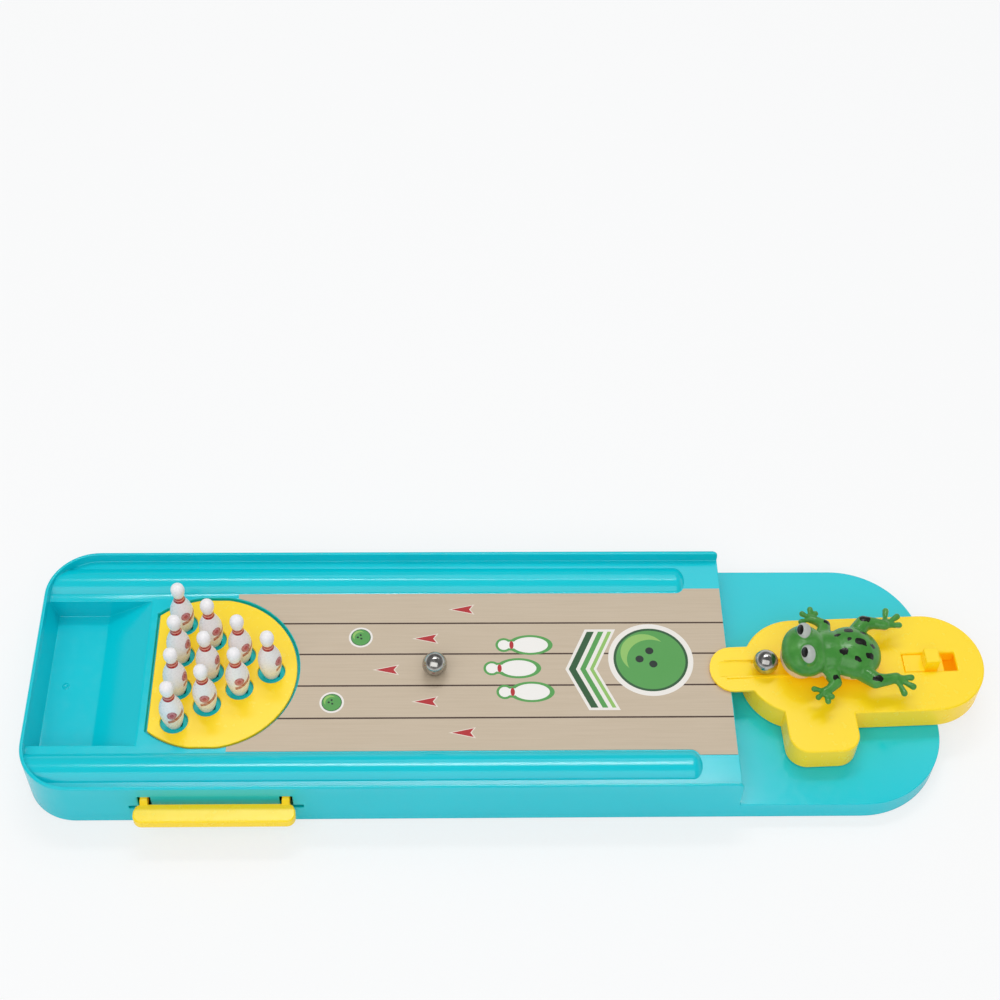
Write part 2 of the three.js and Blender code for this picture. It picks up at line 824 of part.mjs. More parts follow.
// The groove that the ball lies in: a pocket at the frog's snout, then a ramp that fades out.
function ballGroove() {
  const pocket = launcherBallX - ballRadius;
  const outline = polygon([
    [grooveStart, casingTop],
    [pocket, casingTop - grooveRampDepth],
    [pocket, grooveFloor],
    [grooveEnd, grooveFloor],
    [grooveEnd, casingTop + overrun],
    [grooveStart, casingTop + overrun],
  ]);
  return extrudedAlongY(outline, -grooveHalfWidth, grooveHalfWidth);
}

function guideRibs() {
  return [-1, 1].map((side) => {
    const edges = [side * grooveHalfWidth, side * (grooveHalfWidth + guideRibWidth)];
    return block(
      guideRibStart, grooveEnd, Math.min(...edges), Math.max(...edges),
      casingTop - clearance, casingTop + guideRibHeight,
    );
  });
}

function casingBosses() {
  const bottom = casingCoverTop + padThickness + clearance;
  return Object.values(coverScrewPlaces).map(([x, y]) => (
    upright(x, y, bossRadius, bottom, casingTop - clearance, smallSides)
  ));
}

function slideRibs() {
  const inner = slideHalfWidth + clearance;
  const end = casingRearCentre + postX;
  return [-1, 1].map((side) => {
    const edges = [side * inner, side * (inner + slideRibThickness)];
    return block(
      slideStart, end, Math.min(...edges), Math.max(...edges),
      casingCeiling - slideRibDepth, casingTop - clearance,
    );
  });
}

function casingSlots() {
  const margin = postRadius + clearance;
  const low = casingCeiling - overrun;
  const high = casingTop + overrun;
  const front = block(
    postX - margin, postX + slideTravel + margin + frontSlotMargin, -margin, margin, low, high,
  );
  const rear = block(
    rearSlotStart, rearSlotEnd, -rearSlotHalfWidth, rearSlotHalfWidth, low, high,
  );
  return [front, rear];
}

function makeCasing() {
  const neckBottom = plateUnderside - pivotNeckReach;
  const shell = casingPlan(0, casingBottom, casingTop).subtract(
    casingPlan(casingWall, casingBottom - overrun, casingCeiling),
  );
  const solidParts = joined([
    shell,
    tongue(),
    ...guideRibs(),
    ...casingBosses(),
    ...slideRibs(),
    upright(0, 0, pivotBossRadius, casingBottom, casingTop - clearance),
    upright(0, 0, pivotNeckRadius, neckBottom, casingBottom + overrun),
  ]);
  const bores = Object.values(coverScrewPlaces).map(([x, y]) => (
    upright(x, y, boreRadius - clearance, casingBottom, casingCeiling - clearance, smallSides)
  ));
  const pivotBore = upright(
    0, 0, boreRadius - clearance / 2, neckBottom - overrun, neckBottom + pivotBoreDepth, smallSides,
  );
  const shape = cutBy(solidParts, [ballGroove(), pivotBore, ...casingSlots(), ...bores]);
  return piece('launcher_body', shape, yellowPlastic);
}

function makeCasingCover() {
  const plan = casingPlan(casingWall + clearance, casingBottom, casingCoverTop);
  const pads = Object.values(coverScrewPlaces).map(([x, y]) => (
    upright(x, y, padRadius, casingBottom, casingCoverTop + padThickness, smallSides)
  ));
  const stop = block(
    springStopX, springStopX + springStopThickness, -springStopHalfWidth, springStopHalfWidth,
    casingBottom, slideBottom - clearance,
  );
  const peg = upright(
    stopPegX, 0, stopPegRadius, plateUnderside + stopPegInset, casingCoverTop, smallSides,
  );
  const top = casingBottom + coverScrewRecess;
  const recesses = Object.values(coverScrewPlaces).flatMap(([x, y]) => [
    upright(x, y, coverScrewHead + clearance, casingBottom - overrun, top, smallSides),
    upright(x, y, boreRadius - clearance, casingBottom, casingCoverTop + overrun, smallSides),
  ]);
  const pivotHole = upright(
    0, 0, pivotBossRadius + clearance, casingBottom - overrun, casingCoverTop + overrun,
  );
  const shape = cutBy(joined([plan, ...pads, stop, peg]), [...recesses, pivotHole]);
  return piece('launcher_cover', shape, yellowPlastic);
}

function makeCoverScrews() {
  const top = casingBottom + coverScrewRecess - clearance;
  return Object.values(coverScrewPlaces).map(([x, y], n) => {
    const shape = screw(
      x, y, top, coverScrewHead, headHeight, shankRadius - clearance, coverScrewLength,
    );
    return piece(`cover_screw_${n + 1}`, shape, platedSteel);
  });
}

function makePivot() {
  const washerTop = plateUnderside - pivotNeckReach - clearance;
  const washerBottom = washerTop - washerThickness;
  const washer = upright(0, 0, washerRadius, washerBottom, washerTop).subtract(
    upright(0, 0, boreRadius, washerBottom - overrun, washerTop + overrun, smallSides),
  );
  const pivotScrew = screw(
    0, 0, washerBottom - clearance, headRadius, headHeight, shankRadius - clearance / 2,
    washerThickness + pivotBoreDepth - clearance,
  );
  return [
    piece('pivot_screw', pivotScrew, platedSteel),
    piece('pivot_washer', washer, platedSteel),
  ];
}

// The slide carries the frog on its post, and the tab and pad that show in the rear slot.
function makeSlide() {
  const padHalf = rearSlotHalfWidth - clearance;
  const sunk = slideTop - slideThickness / 2;
  const shape = joined([
    block(slideStart, slideEnd, -slideHalfWidth, slideHalfWidth, slideBottom, slideTop),
    upright(postX, 0, postRadius, sunk, postTop),
    block(rearSlotStart + clearance, tabStart + clearance, -padHalf, padHalf, sunk, casingTop - padDrop),
    block(tabStart, tabStart + tabLength, -tabHalfWidth, tabHalfWidth, sunk, casingTop + tabRise),
    block(
      lugX, lugX + lugThickness, -lugHalfWidth, lugHalfWidth, casingCoverTop + clearance, sunk,
    ),
  ]);
  const recess = upright(
    postX, 0, coverScrewHead + clearance, slideBottom - overrun, slideBottom + coverScrewRecess,
  );
  const bore = upright(postX, 0, boreRadius - clearance, slideBottom, postTop + overrun, smallSides);
  return piece('launch_slider', cutBy(shape, [recess, bore]), yellowPlastic);
}

function makeFrogScrew() {
  const top = slideBottom + coverScrewRecess - clearance;
  const shape = screw(
    postX, 0, top, coverScrewHead, headHeight, shankRadius - clearance,
    postTop + frogBoreDepth - top,
  );
  return piece('frog_screw', shape, platedSteel);
}

// The spring's middle line: straight ends along its axis, one wire thick, and even curls between.
function springLine() {
  const start = lugX + lugThickness + clearance;
  const end = springStopX - clearance;
  const z = (slideBottom + casingCoverTop) / 2;
  const points = [];
  const steps = springCurls * springSteps;
  for (let n = 0; n <= steps; n += 1) {
    const angle = (2 * Math.PI * n) / springSteps;
    const x = start + springWire + ((end - start - 2 * springWire) * n) / steps;
    points.push(new THREE.Vector3(
      x, springRadius * Math.cos(angle), z + springRadius * Math.sin(angle),
    ));
  }
  const first = points[0].clone().setX(start);
  const last = points[points.length - 1].clone().setX(end);
  return { points: [first, ...points, last], axisHeight: z };
}

function leastSpringGap(points) {
  let least = Infinity;
  for (let i = 0; i < points.length; i += 1) {
    for (let j = i + springSteps / 2; j < points.length; j += 1) {
      least = Math.min(least, points[i].distanceTo(points[j]) - springWire);
    }
  }
  return least;
}

// The wire is one closed tube: a ring of corners at each point, and a fan of faces at each end.
function makeSpring() {
  const { points, axisHeight } = springLine();
  const corners = [];
  points.forEach((point, n) => {
    const before = points[Math.max(n - 1, 0)];
    const after = points[Math.min(n + 1, points.length - 1)];
    const along = after.clone().sub(before).normalize();
    const out = new THREE.Vector3(0, point.y, point.z - axisHeight).normalize();
    const side = new THREE.Vector3().crossVectors(along, out).normalize();
    const up = new THREE.Vector3().crossVectors(side, along);
    for (let s = 0; s < springSides; s += 1) {
      const angle = (2 * Math.PI * s) / springSides;
      const reach = springWire / 2;
      const corner = point.clone().addScaledVector(up, reach * Math.cos(angle));
      corners.push(corner.addScaledVector(side, reach * Math.sin(angle)));
    }
  });
  const faces = [];
  const last = (points.length - 1) * springSides;
  for (let n = 0; n < points.length - 1; n += 1) {
    for (let s = 0; s < springSides; s += 1) {
      const a = n * springSides + s;
      const b = n * springSides + ((s + 1) % springSides);
      faces.push(a, b, a + springSides, b, b + springSides, a + springSides);
    }
  }
  for (let s = 1; s < springSides - 1; s += 1) {
    faces.push(0, s + 1, s, last, last + s, last + s + 1);
  }
  const geometry = new THREE.BufferGeometry().setFromPoints(corners);
  geometry.setIndex(faces);
  geometry.computeVertexNormals();
  const mesh = new THREE.Mesh(geometry, platedSteel);
  mesh.name = 'launch_spring';
  console.log(`launch_spring least gap to itself ${leastSpringGap(points).toFixed(2)} mm`);
  return mesh;
}

// A tapered limb with round ends, from one joint to the next.
function limb(from, to) {
  const start = new THREE.Vector3(...from.slice(0, 3));
  const end = new THREE.Vector3(...to.slice(0, 3));
  const [startRadius, endRadius] = [from[3], to[3]];
  const length = start.distanceTo(end);
  const profile = [];
  for (let n = 0; n <= limbEndSteps; n += 1) {
    const angle = (Math.PI / 2 / limbEndSteps) * n;
    profile.push(new THREE.Vector2(startRadius * Math.sin(angle), -startRadius * Math.cos(angle)));
  }
  for (let n = limbEndSteps; n >= 0; n -= 1) {
    const angle = (Math.PI / 2 / limbEndSteps) * n;
    profile.push(new THREE.Vector2(endRadius * Math.sin(angle), length + endRadius * Math.cos(angle)));
  }
  const geometry = new THREE.LatheGeometry(profile, limbSides);
  const direction = end.clone().sub(start).normalize();
  const turn = new THREE.Quaternion().setFromUnitVectors(new THREE.Vector3(0, 1, 0), direction);
  geometry.applyQuaternion(turn);
  geometry.translate(start.x, start.y, start.z);
  return solid(geometry);
}

function frogPoint([x, y, z, ...rest], side = 1) {
  const seat = postTop + clearance;
  return [
    snoutX + x * frogLength, side * y * frogLength, seat + z * frogLength,
    ...rest.map((share) => share * frogLength),
  ];
}

function frogRadii(shares) {
  return shares.map((share) => share * frogLength);
}

function makeFrog() {
  const masses = Object.values(frogBodyShares).map(({ at, radii }) => (
    ellipsoid(frogPoint(at), frogRadii(radii), ballSides, ballSides / 2)
  ));
  const eyes = [-1, 1].map((side) => (
    ellipsoid(frogPoint(frogEyeShare.at, side), frogRadii(frogEyeShare.radii), smallSides, smallSides - 2)
  ));
  const limbs = [-1, 1].flatMap((side) => (
    frogLimbShares.map(([from, to]) => limb(frogPoint(from, side), frogPoint(to, side)))
  ));
  const seat = postTop + clearance;
  const flat = block(
    snoutX - frogLength, snoutX + 2 * frogLength, -frogLength, frogLength,
    seat - frogLength, seat,
  );
  const boss = upright(postX, 0, postRadius, seat, seat + frogSeatHeight);
  const bore = upright(postX, 0, boreRadius - clearance, seat - overrun, seat + frogBoreDepth, smallSides);
  const shape = cutBy(joined([...masses, ...eyes, ...limbs, boss]), [flat, bore]);
  return piece('frog_figure', shape, frogPaint);
}

// The launcher turns as one group about its swivel axis.
function makeLauncher() {
  const launcher = new THREE.Group();
  launcher.add(
    makeCasing(), makeCasingCover(), ...makeCoverScrews(), ...makePivot(),
    makeSlide(), makeSpring(), makeFrog(), makeFrogScrew(),
    ball('ball_launcher', launcherBallX, 0, grooveFloor),
  );
  launcher.position.set(swivelX, 0, 0);
  launcher.rotation.z = THREE.MathUtils.degToRad(restAimDegrees);
  return launcher;
}

// The part's origin is the middle of its footprint, on the table.
function makeGame() {
  const game = new THREE.Group();
  game.add(
    makeTray(), makeLaneSheet(), makeLiftPlate(), makeResetLever(), makeBaseCover(),
    ...makeBaseScrews(), ...makePins(), ball('ball_lane', laneBallX, laneBallY, sheetTop),
    makeLauncher(),
  );
  game.updateMatrixWorld(true);
  const box = new THREE.Box3().setFromObject(game, true);
  game.position.set(-(box.min.x + box.max.x) / 2, -(box.min.y + box.max.y) / 2, -box.min.z);
  return game;
}

export default makeGame();
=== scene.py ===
"""Dresses the tabletop bowling game: mouldings, lane print, pins, balls, launcher and toy frog."""

import json
import logging
import math
from collections.abc import Callable
from dataclasses import dataclass
from enum import Enum

import bmesh
import bpy
from mathutils import Matrix, Vector


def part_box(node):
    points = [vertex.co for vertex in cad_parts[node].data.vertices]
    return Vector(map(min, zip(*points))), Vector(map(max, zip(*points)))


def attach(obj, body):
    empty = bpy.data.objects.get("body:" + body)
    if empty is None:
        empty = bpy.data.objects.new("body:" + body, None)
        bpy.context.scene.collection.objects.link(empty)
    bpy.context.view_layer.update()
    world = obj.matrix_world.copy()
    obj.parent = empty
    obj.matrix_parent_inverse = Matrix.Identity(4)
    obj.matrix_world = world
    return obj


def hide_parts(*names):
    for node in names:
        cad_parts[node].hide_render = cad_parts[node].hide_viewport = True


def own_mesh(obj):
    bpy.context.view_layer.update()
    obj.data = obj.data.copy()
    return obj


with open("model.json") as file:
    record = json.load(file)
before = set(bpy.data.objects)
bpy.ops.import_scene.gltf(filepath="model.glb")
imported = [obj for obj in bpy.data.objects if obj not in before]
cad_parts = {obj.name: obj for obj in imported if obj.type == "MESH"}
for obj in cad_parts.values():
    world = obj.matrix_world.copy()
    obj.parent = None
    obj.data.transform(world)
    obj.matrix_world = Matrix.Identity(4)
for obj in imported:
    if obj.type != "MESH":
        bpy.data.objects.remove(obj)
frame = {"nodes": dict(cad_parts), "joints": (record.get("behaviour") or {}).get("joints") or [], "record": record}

LOG = logging.getLogger("bowling_game")
MM = 0.001
# A flat pattern is stretched this far upwards, so that its height plays no part.
TALL = 1000.0
# The launcher's back half and its mirrored front half.
SIDES = (1.0, -1.0)
# The crease angle, in degrees, of a piece with no sharp edge at all.
ALL_SMOOTH = 180.0
Socket = bpy.types.NodeSocket
Tree = bpy.types.NodeTree
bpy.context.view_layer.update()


# ----------------------------------------------------------------------------- small tools


def linear(colour: str) -> tuple[float, float, float, float]:
    """Turns an sRGB hex colour into the linear values that a shader takes.

    Args:
        colour: six hex digits after a hash, such as "#2cc8d6".

    Returns:
        Linear red, green and blue, and an alpha of 1.
    """
    shares = [int(colour[i:i + 2], 16) / 255 for i in (1, 3, 5)]
    parts = [c / 12.92 if c <= 0.04045 else ((c + 0.055) / 1.055) ** 2.4 for c in shares]
    return (parts[0], parts[1], parts[2], 1.0)


def add_node(tree: Tree, kind: str, settings: dict | None = None,
             links: dict | None = None) -> bpy.types.Node:
    """Adds a node with its settings and links.

    Args:
        tree: the material's or the world's node tree.
        kind: the node's type name.
        settings: property names, input names or input numbers, with their values, in order.
        links: input names or numbers, with the sockets that feed them.

    Returns:
        The new node.
    """
    node = tree.nodes.new(kind)
    for key, value in (settings or {}).items():
        if isinstance(key, int) or key in node.inputs:
            node.inputs[key].default_value = value
        else:
            setattr(node, key, value)
    for key, socket in (links or {}).items():
        tree.links.new(socket, node.inputs[key])
    return node


def joint(name: str) -> dict:
    """Returns the record's joint of that name."""
    return next(j for j in frame["joints"] if j["name"] == name)


def body_of(node: str) -> str:
    """Returns the name of the body that a CAD node belongs to."""
    bodies = frame["record"]["behaviour"]["bodies"]
    return next(body for body, nodes in bodies.items() if node in nodes)


@dataclass(frozen=True)
class Place:
    """A frame of reference in millimetres: an origin in metres and a turn about the vertical."""

    origin: Vector
    turn: float = 0.0

    def matrix(self) -> Matrix:
        """Returns the matrix from this place's millimetres to the row frame's metres."""
        turn = Matrix.Rotation(self.turn, 4, "Z")
        return Matrix.Translation(self.origin) @ turn @ Matrix.Scale(MM, 4)

    def look_up(self, tree: Tree) -> Socket:
        """Gives a material the place of each point, in this place's millimetres.

        Args:
            tree: the material's node tree.

        Returns:
            The vector socket of the place.
        """
        coordinates = add_node(tree, "ShaderNodeTexCoord")
        settings = {"vector_type": "TEXTURE", "Location": self.origin,
                    "Rotation": (0.0, 0.0, self.turn), "Scale": (MM, MM, MM)}
        mapping = add_node(tree, "ShaderNodeMapping", settings,
                           {"Vector": coordinates.outputs["Object"]})
        return mapping.outputs["Vector"]


def tray_place() -> Place:
    """Returns the place at the middle of the tray's pit end, on the table."""
    low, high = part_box("tray_shell")
    return Place(Vector((low.x, (low.y + high.y) / 2, low.z)))


def launcher_place() -> Place:
    """Returns the place on the launcher's swivel axis, with X towards its rear."""
    pivot = joint("launcher_aim")["pos_m"]
    axis = joint("launch_pull")["axis"]
    return Place(Vector((pivot[0], pivot[1], 0.0)), math.atan2(axis[1], axis[0]))


# ----------------------------------------------------------------------------- finishes


@dataclass(frozen=True)
class MouldedPlastic:
    """Glossy moulded ABS: a smooth wet-looking skin with a faint flow tone, dust and light scuffs.

    The pattern sizes are in millimetres, and a range is the span of the noise that is used. dust
    is how far a speck hides the colour, the warm emission's strength is a painted glow of bounced
    light in the shaded faces, and gate_mark is the ring's middle in the tray's place.
    """

    name: str
    colour: str
    tone: str
    roughness: float
    ior: float = 1.53
    flow_mm: float = 40.0
    flow_range: tuple[float, float] = (0.35, 0.65)
    grain_mm: float = 0.45
    grain_depth_mm: float = 0.02
    grain_strength: float = 0.03
    dust_mm: float = 8.0
    speck_mm: float = 0.144
    dust: float = 0.05
    dust_colour: str = "#e8ece6"
    scuff_mm: float = 3.0
    scuff_range: tuple[float, float] = (0.45, 0.8)
    scuff_dulling: float = 0.07
    painted_warm_glow: float = 0.0
    painted_glow_colour: str = "#ff8e00"
    gate_mark: tuple[float, float] | None = None
    gate_ring_mm: float = 0.9
    gate_edge_mm: float = 0.55
    gate_depth_mm: float = 0.3

    def build(self) -> bpy.types.Material:
        """Builds the material.

        Returns:
            The material, named for the plastic.
        """
        material, tree, shader = start_material(self.name)
        place = tray_place().look_up(tree)
        # The melt's flow leaves wide soft patches, a shade apart.
        flow = add_node(tree, "ShaderNodeTexNoise", {"Scale": 1 / self.flow_mm, "Detail": 2.0},
                        {"Vector": place})
        spread = add_node(tree, "ShaderNodeMapRange",
                          {"From Min": self.flow_range[0], "From Max": self.flow_range[1]},
                          {"Value": flow.outputs["Fac"]})
        body = add_node(tree, "ShaderNodeMix", {"data_type": "RGBA", 6: linear(self.colour),
                                                7: linear(self.tone)},
                        {0: spread.outputs["Result"]})
        # Specks of dust under a third of a millimetre across lie on a used toy.
        dust = add_node(tree, "ShaderNodeTexVoronoi", {"Scale": 1 / self.dust_mm},
                        {"Vector": place})
        speck = add_node(tree, "ShaderNodeMath",
                         {"operation": "LESS_THAN", 1: self.speck_mm / self.dust_mm},
                         {0: dust.outputs["Distance"]})
        paler = add_node(tree, "ShaderNodeMath", {"operation": "MULTIPLY", 1: self.dust},
                         {0: speck.outputs["Value"]})
        dusty = add_node(tree, "ShaderNodeMix",
                         {"data_type": "RGBA", 7: linear(self.dust_colour)},
                         {0: paler.outputs["Value"], 6: body.outputs[2]})
        tree.links.new(dusty.outputs[2], shader.inputs["Base Color"])
        # Handling dulls the gloss in small cloudy scuffs, a few millimetres across.
        scuff = add_node(tree, "ShaderNodeTexNoise", {"Scale": 1 / self.scuff_mm, "Detail": 4.0},
                         {"Vector": place})
        dull = add_node(tree, "ShaderNodeMapRange",
                        {"From Min": self.scuff_range[0], "From Max": self.scuff_range[1],
                         "To Min": self.roughness,
                         "To Max": self.roughness + self.scuff_dulling},
                        {"Value": scuff.outputs["Fac"]})
        tree.links.new(dull.outputs["Result"], shader.inputs["Roughness"])
        # The mould's fine spark-eroded grain, drawn a little coarser than real so that it shows.
        grain = add_node(tree, "ShaderNodeTexNoise", {"Scale": 1 / self.grain_mm, "Detail": 1.0},
                         {"Vector": place})
        bump = add_node(tree, "ShaderNodeBump", {"Strength": self.grain_strength,
                                                 "Distance": self.grain_depth_mm * MM},
                        {"Height": grain.outputs["Fac"]})
        normal = bump.outputs["Normal"]
        if self.gate_mark:
            normal = self.add_gate_mark(tree, place, normal)
        tree.links.new(normal, shader.inputs["Normal"])
        shader.inputs["IOR"].default_value = self.ior
        # Painted warm glow: a weak orange emission stands in for bounced light, so shaded faces stay warm.
        shader.inputs["Emission Color"].default_value = linear(self.painted_glow_colour)
        shader.inputs["Emission Strength"].default_value = self.painted_warm_glow
        return material

    def add_gate_mark(self, tree: Tree, place: Socket, normal: Socket) -> Socket:
        """Raises the ring that the mould's gate pin leaves on the surface.

        Args:
            tree: the material's node tree.
            place: the place in millimetres.
            normal: the normal so far.

        Returns:
            The normal with the ring.
        """
        x, y = self.gate_mark
        settings = {"vector_type": "TEXTURE", "Location": (x, y, 0.0), "Scale": (1.0, 1.0, TALL)}
        local = add_node(tree, "ShaderNodeMapping", settings, {"Vector": place})
        reach = add_node(tree, "ShaderNodeVectorMath", {"operation": "LENGTH"},
                         {0: local.outputs["Vector"]})
        away = add_node(tree, "ShaderNodeMath", {"operation": "SUBTRACT", 1: self.gate_ring_mm},
                        {0: reach.outputs["Value"]})
        gap = add_node(tree, "ShaderNodeMath", {"operation": "ABSOLUTE"},
                       {0: away.outputs["Value"]})
        ring = add_node(tree, "ShaderNodeMapRange",
                        {"interpolation_type": "SMOOTHSTEP", "From Min": self.gate_edge_mm,
                         "From Max": 0.0}, {"Value": gap.outputs["Value"]})
        raised = add_node(tree, "ShaderNodeBump",
                          {"Strength": 1.0, "Distance": self.gate_depth_mm * MM},
                          {"Height": ring.outputs["Result"], "Normal": normal})
        return raised.outputs["Normal"]


@dataclass(frozen=True)
class PolishedSteel:
    """Ground and polished bearing steel, mirror bright and grey.

    Handling clouds its gloss in patches, and its colour is mottled as a painted reflection.
    """

    name: str = "polished_bearing_steel"
    # colour and bright are the dark and light ends of the painted mottled reflection.
    colour: str = "#a5a3a0"
    bright: str = "#c4c2be"
    haze_and_reflection_mm: float = 2.2
    painted_reflection_range: tuple[float, float] = (0.4, 0.62)
    dull_range: tuple[float, float] = (0.4, 0.8)
    roughness: tuple[float, float] = (0.12, 0.26)

    def build(self) -> bpy.types.Material:
        """Builds the material.

        Returns:
            The mirror-like steel.
        """
        material, tree, shader = start_material(self.name)
        place = tray_place().look_up(tree)
        # One noise is a real handling haze in the gloss and a painted mottled reflection in the colour.
        haze_and_painted_reflection = add_node(tree, "ShaderNodeTexNoise", {"Scale": 1 / self.haze_and_reflection_mm, "Detail": 4.0},
                        {"Vector": place})
        tint = add_node(tree, "ShaderNodeMapRange",
                        {"From Min": self.painted_reflection_range[0], "From Max": self.painted_reflection_range[1]},
                        {"Value": haze_and_painted_reflection.outputs["Fac"]})
        # Painted reflection: the colour mottles from grey to bright in soft patches.
        skin = add_node(tree, "ShaderNodeMix", {"data_type": "RGBA", 6: linear(self.colour),
                                                7: linear(self.bright)},
                        {0: tint.outputs["Result"]})
        tree.links.new(skin.outputs[2], shader.inputs["Base Color"])
        dull = add_node(tree, "ShaderNodeMapRange",
                        {"From Min": self.dull_range[0], "From Max": self.dull_range[1],
                         "To Min": self.roughness[0], "To Max": self.roughness[1]},
                        {"Value": haze_and_painted_reflection.outputs["Fac"]})
        tree.links.new(dull.outputs["Result"], shader.inputs["Roughness"])
        shader.inputs["Metallic"].default_value = 1.0
        return material


@dataclass(frozen=True)
class ZincPlate:
    """Bright zinc plate on small steel parts: grey and cloudy, dulled in patches by the bath."""

    name: str = "bright_zinc_plate"
    colour: str = "#a4a8ad"
    bright: str = "#c3c7c9"
    cloud_mm: float = 1.5
    roughness: tuple[float, float] = (0.22, 0.5)

    def build(self) -> bpy.types.Material:
        """Builds the material.

        Returns:
            The cloudy plated steel.
        """
        material, tree, shader = start_material(self.name)
        place = tray_place().look_up(tree)
        cloud = add_node(tree, "ShaderNodeTexNoise", {"Scale": 1 / self.cloud_mm, "Detail": 5.0},
                         {"Vector": place})
        dull = add_node(tree, "ShaderNodeMapRange",
                        {"To Min": self.roughness[0], "To Max": self.roughness[1]},
                        {"Value": cloud.outputs["Fac"]})
        tree.links.new(dull.outputs["Result"], shader.inputs["Roughness"])
        tint = add_node(tree, "ShaderNodeMix", {"data_type": "RGBA", 6: linear(self.colour),
                                                7: linear(self.bright)},
                        {0: cloud.outputs["Fac"]})
        tree.links.new(tint.outputs[2], shader.inputs["Base Color"])
        shader.inputs["Metallic"].default_value = 1.0
        return material


